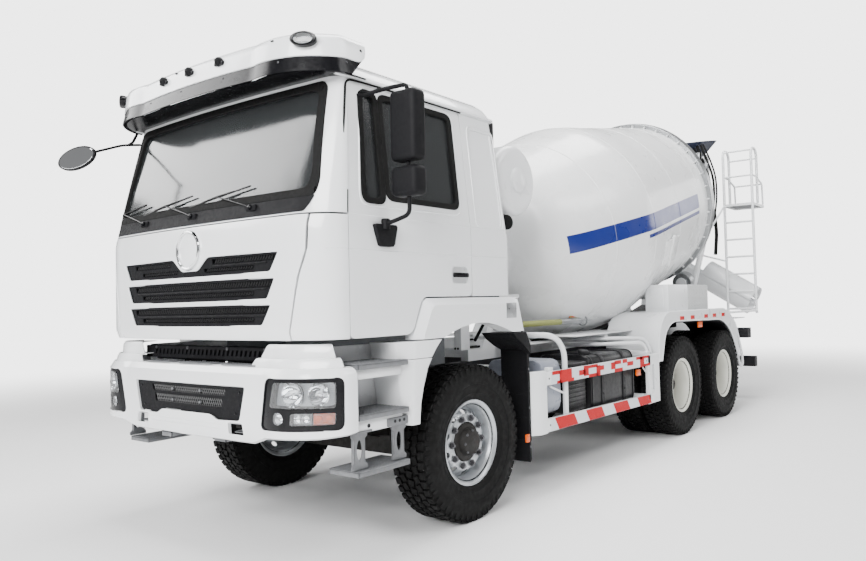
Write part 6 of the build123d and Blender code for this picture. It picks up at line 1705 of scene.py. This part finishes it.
# water tank: sight tube, two valves, round cap and straps
for y in (0.62, -0.62):
    addLathe([(0, 0.291), (0, 0.297), (0.05, 0.297), (0.05, 0.291)], (-0.866, y, 2.52), (0, 1, 0), 56, 0,
        closed=True)
addTube([(-0.59, 0.92, 2.66), (-0.562, 0.92, 2.6), (-0.562, 0.92, 2.42), (-0.59, 0.92, 2.36)], 0.01, 0.03,
    10, 2)
for z in (2.66, 2.36):
    addLathe([(0, 0.02), (0.03, 0.02), (0.04, 0.012), (0.04, 0)], (-0.585, 0.92, z), (1, 0.2, 0), 16, 1)
    addTube([(-0.56, 0.9, z), (-0.56, 0.96, z)], 0.008, 0, 8, 1)
addLathe([(0, 0.1), (0.02, 0.1), (0.03, 0.08), (0.03, 0)], (-0.866, 1.0, 2.52), (0, 1, 0), 32, 0)
addLathe([(0, 0.07), (0.05, 0.07), (0.06, 0.05), (0.06, 0)], (-0.8, 0.3, 2.79), (0, 0, 1), 28, 0)
addLathe([(0, 0.06), (0.06, 0.06), (0.07, 0.04), (0.07, 0)], (-0.7, 0.96, 2.16), (0.3, 1, 0), 24, 3)
addTube([(-0.8, 0.9, 2.24), (-0.76, 0.94, 2.18), (-0.72, 0.96, 2.14), (-0.86, 0.8, 1.6), (-0.9, 0.5, 1.2)],
    0.014, 0.06, 10, 3)
make("tankFittings", [bodyPaint, valveGreen, steelGrey, rubberBlack], "chassis")
print("rear fittings made")

# cab inside: floor, fire wall, tunnel, linings, dash and steering wheel
addBox((-0.4, -1.1, 1.405), (1.19, 1.1, 1.452), 0.006)
addBox((1.186, -1.08, 1.42), (1.214, 1.08, 2.08), 0.006)
addBox((-0.4, -0.43, 1.44), (1.1, 0.43, 1.64), 0.04)
dash = bent([(1.18, 1.8), (1.18, 2.118), (1.06, 2.128), (0.87, 2.066), (0.82, 1.96), (0.9, 1.8)], 0.03)
addPrism(dash, onSide, -1.06, 1.06, 0.01)
addBox((0.8, 0.3, 2.055), (1.02, 0.82, 2.125), 0.02)
addBox((0.812, -0.24, 1.86), (0.86, 0.22, 2.03), 0.012)
addBox((-0.44, -1.08, 1.46), (-0.425, 1.08, 2.9), 0.006)
addTube([(0.9, 0.56, 1.88), (0.66, 0.56, 2.06)], 0.034, 0, 16)
tilt = Vector((-0.45, 0, 1)).normalized()
spokes = [Vector((0, 1, 0)), Vector((0, -1, 0)), tilt.cross(Vector((0, 1, 0)))]
centre = Vector((0.64, 0.56, 2.085))
addLathe(ellipse(0, 0.212, -0.016, 0.016, 12), centre + tilt * 0.02, tilt, 56, 0, closed=True)
addLathe([(-0.03, 0.05), (0.0, 0.065), (0.012, 0.055), (0.016, 0)], centre, tilt, 28)
for way in spokes:
    addTube([centre + way * 0.03, centre + way * 0.205 + tilt * 0.018], 0.014, 0, 8, flat=0.5)
addTube([(0.52, 0.14, 1.64), (0.5, 0.14, 1.92)], 0.01, 0, 10)
addLathe([(0, 0.015), (0.02, 0.028), (0.05, 0.026), (0.06, 0)], (0.5, 0.14, 1.91), (0, 0, 1), 18)
make("cabInside", [interiorGrey], "cab", replaces=["dashboard"])
for side, out in sides:
    outline = bent([(0.985, 1.5), (0.125, 1.5), (0.125, 2.16), (0.985, 2.16)], 0.06)
    addPanel(outline, [], plane(onSide, out * 1.09), plane(onSide, out * 1.098), 0.12)
    addBox((0.3, out * 1.045, 1.84), (0.74, out * 1.094, 1.9), 0.02)
    addBox((0.22, out * 1.06, 1.52), (0.86, out * 1.094, 1.66), 0.02)
    make("doorLining." + side, [interiorGrey], "door_" + side)


# seats: padded cushions, backs and headrests, swollen as cloth and pressed with channels
seat = {
    "out": 0.56, "fill": 0.6, "swell": 0.01, "channel": 0.009, "voxel": 0.012,
    "seams": ((1, -0.13, 0.012), (1, 0.13, 0.012), (0, 0.3, 0.012)),  # axis, place on it, width
    "parts": {  # low and high corner before the turn, where that frame stands, turn about y
        "Cushion": ((0.04, -0.235, 1.775), (0.57, 0.235, 1.885), (0, 0, 0), 0),
        "Back": ((0, -0.225, 0), (0.62, 0.225, 0.11), (0.135, 0, 1.865), -100.5),
        "Head": ((0, -0.13, 0), (0.15, 0.13, 0.085), (0.02, 0, 2.5), -100.5),
    },
}


def addPad(low, high):
    addBox([a + 0.012 for a in low], [a - 0.012 for a in high], 0.036, 0, 5)
    for _ in range(2):
        bmesh.ops.subdivide_edges(bm, edges=[e for e in bm.edges if e.calc_length() > 0.03], cuts=1,
            use_grid_fill=True)
    bmesh.ops.triangulate(bm, faces=[f for f in bm.faces if len(f.verts) > 4])


def swollen(piece, cap):
    remesh = piece.modifiers.new("even", "REMESH")
    remesh.mode, remesh.voxel_size = "VOXEL", seat["voxel"]
    with bpy.context.temp_override(object=piece, active_object=piece, selected_objects=[piece]):
        bpy.ops.object.modifier_apply(modifier="even")
    rest = np.zeros(len(piece.data.vertices) * 3)
    piece.data.vertices.foreach_get("co", rest)
    rest = rest.reshape(-1, 3)
    cloth = piece.modifiers.new("cloth", "CLOTH")
    cloth.settings.quality = 4
    cloth.settings.mass = 0.4
    cloth.settings.use_pressure = True
    cloth.settings.uniform_pressure_force = 4.0
    cloth.settings.effector_weights.gravity = 0.0
    for number in range(1, 21):
        bpy.context.scene.frame_set(number)
    ready = piece.evaluated_get(bpy.context.evaluated_depsgraph_get())
    now = np.zeros(len(ready.data.vertices) * 3)
    ready.data.vertices.foreach_get("co", now)
    moved = now.reshape(-1, 3) - rest
    far = np.linalg.norm(moved, axis=1, keepdims=True)
    rest = rest + moved * np.minimum(1, cap / np.maximum(far, 1e-9))
    piece.modifiers.remove(cloth)
    bpy.context.scene.frame_set(1)
    return rest


# sewn channels pressed into the crowned face, and sides that pull in
def channelled(spots, low, high, seams, deep):
    centre, half = (np.array(low) + np.array(high)) / 2, (np.array(high) - np.array(low)) / 2
    t = (spots - centre) / half
    out = spots.copy()
    for axis, at, width in seams:
        out[:, 2] -= deep * np.exp(-((spots[:, axis] - at) / width) ** 2) * (t[:, 2] > 0.2)
    out[:, 2] += 0.014 * np.clip(1 - t[:, 0] ** 2, 0, 1) * np.clip(1 - t[:, 1] ** 2, 0, 1) * (t[:, 2] > 0)
    out[:, 1] -= t[:, 1] * 0.007 * np.clip(1 - t[:, 0] ** 2, 0, 1)
    out[:, 0] -= t[:, 0] * 0.007 * np.clip(1 - t[:, 1] ** 2, 0, 1)
    return out


for side, out in sides:
    y = out * seat["out"]
    addBox((0.08, y - 0.2, 1.73), (0.54, y + 0.2, 1.776), 0.012)
    addBox((0.13, y - 0.12, 1.452), (0.48, y + 0.12, 1.74), 0.02)
    make("seatBase." + side, [interiorGrey], "cab", replaces=["seats"] if out > 0 else ())
    for part, (low, high, foot, turned) in seat["parts"].items():
        place = Matrix.Translation(Vector((frontX, y, 0)) + Vector(foot)) @ Matrix.Rotation(
            math.radians(turned), 4, "Y")
        addPad(low, high)
        piece = make("seat" + part + "." + side, [seatCloth], "cab", 0)
        seams = seat["seams"] if part != "Head" else ()
        spots = channelled(swollen(piece, seat["swell"]), low, high, seams, seat["channel"])
        piece.data.vertices.foreach_set("co", spots.reshape(-1))
        piece.data.transform(place)
        piece.data.polygons.foreach_set("use_smooth", [True] * len(piece.data.polygons))
        piece.data.update()
        smooth = piece.modifiers.new("fine", "SUBSURF")
        smooth.levels = smooth.render_levels = 1
print("cab inside made")

# pieces that keep their own shape: merged, their edges rounded, and given their finish
kept = {
    "chassis_frame": (frameBlack, "frame_black", 0.003),
    "drum_frame": (bodyPaint, "body_white", 0.003),
    "engine": (engineGrey, "engine_grey", 0.006),
    "front_axle": (axleBlack, "axle_black", 0.004),
    "rear_axles": (axleBlack, "axle_black", 0.005),
    "rear_underrun": (frameBlack, "frame_black", 0.004),
    "drum_gearbox": (engineGrey, "gearbox_grey", 0.006),
    "loading_hopper": (hopperBlue, "hopper_blue", 0.003),
    "discharge_spout": (bodyPaint, "body_white", 0.003),
    "water_tank": (bodyPaint, "body_white", 0.004),
    "left_roller": (steelGrey, "roller_steel", 0.003),
    "right_roller": (steelGrey, "roller_steel", 0.003),
    "chute_turntable": (bodyPaint, "chute_grey", 0.003),
    "main_chute": (bodyPaint, "chute_grey", 0.002),
    "chute_extension": (bodyPaint, "chute_grey", 0.002),
    "left_knuckle": (axleBlack, "axle_black", 0.003),
    "right_knuckle": (axleBlack, "axle_black", 0.003),
    "tie_rod": (axleBlack, "axle_black", 0.002),
}
for name, (paint, slotName, width) in kept.items():
    piece = frame["nodes"][name]
    piece.data.materials.clear()
    piece.data.materials.append(paint)
    merge = piece.modifiers.new("merge", "WELD")
    merge.merge_threshold = 0.00005
    roundEdges(piece, width, 38)
print("kept pieces finished")
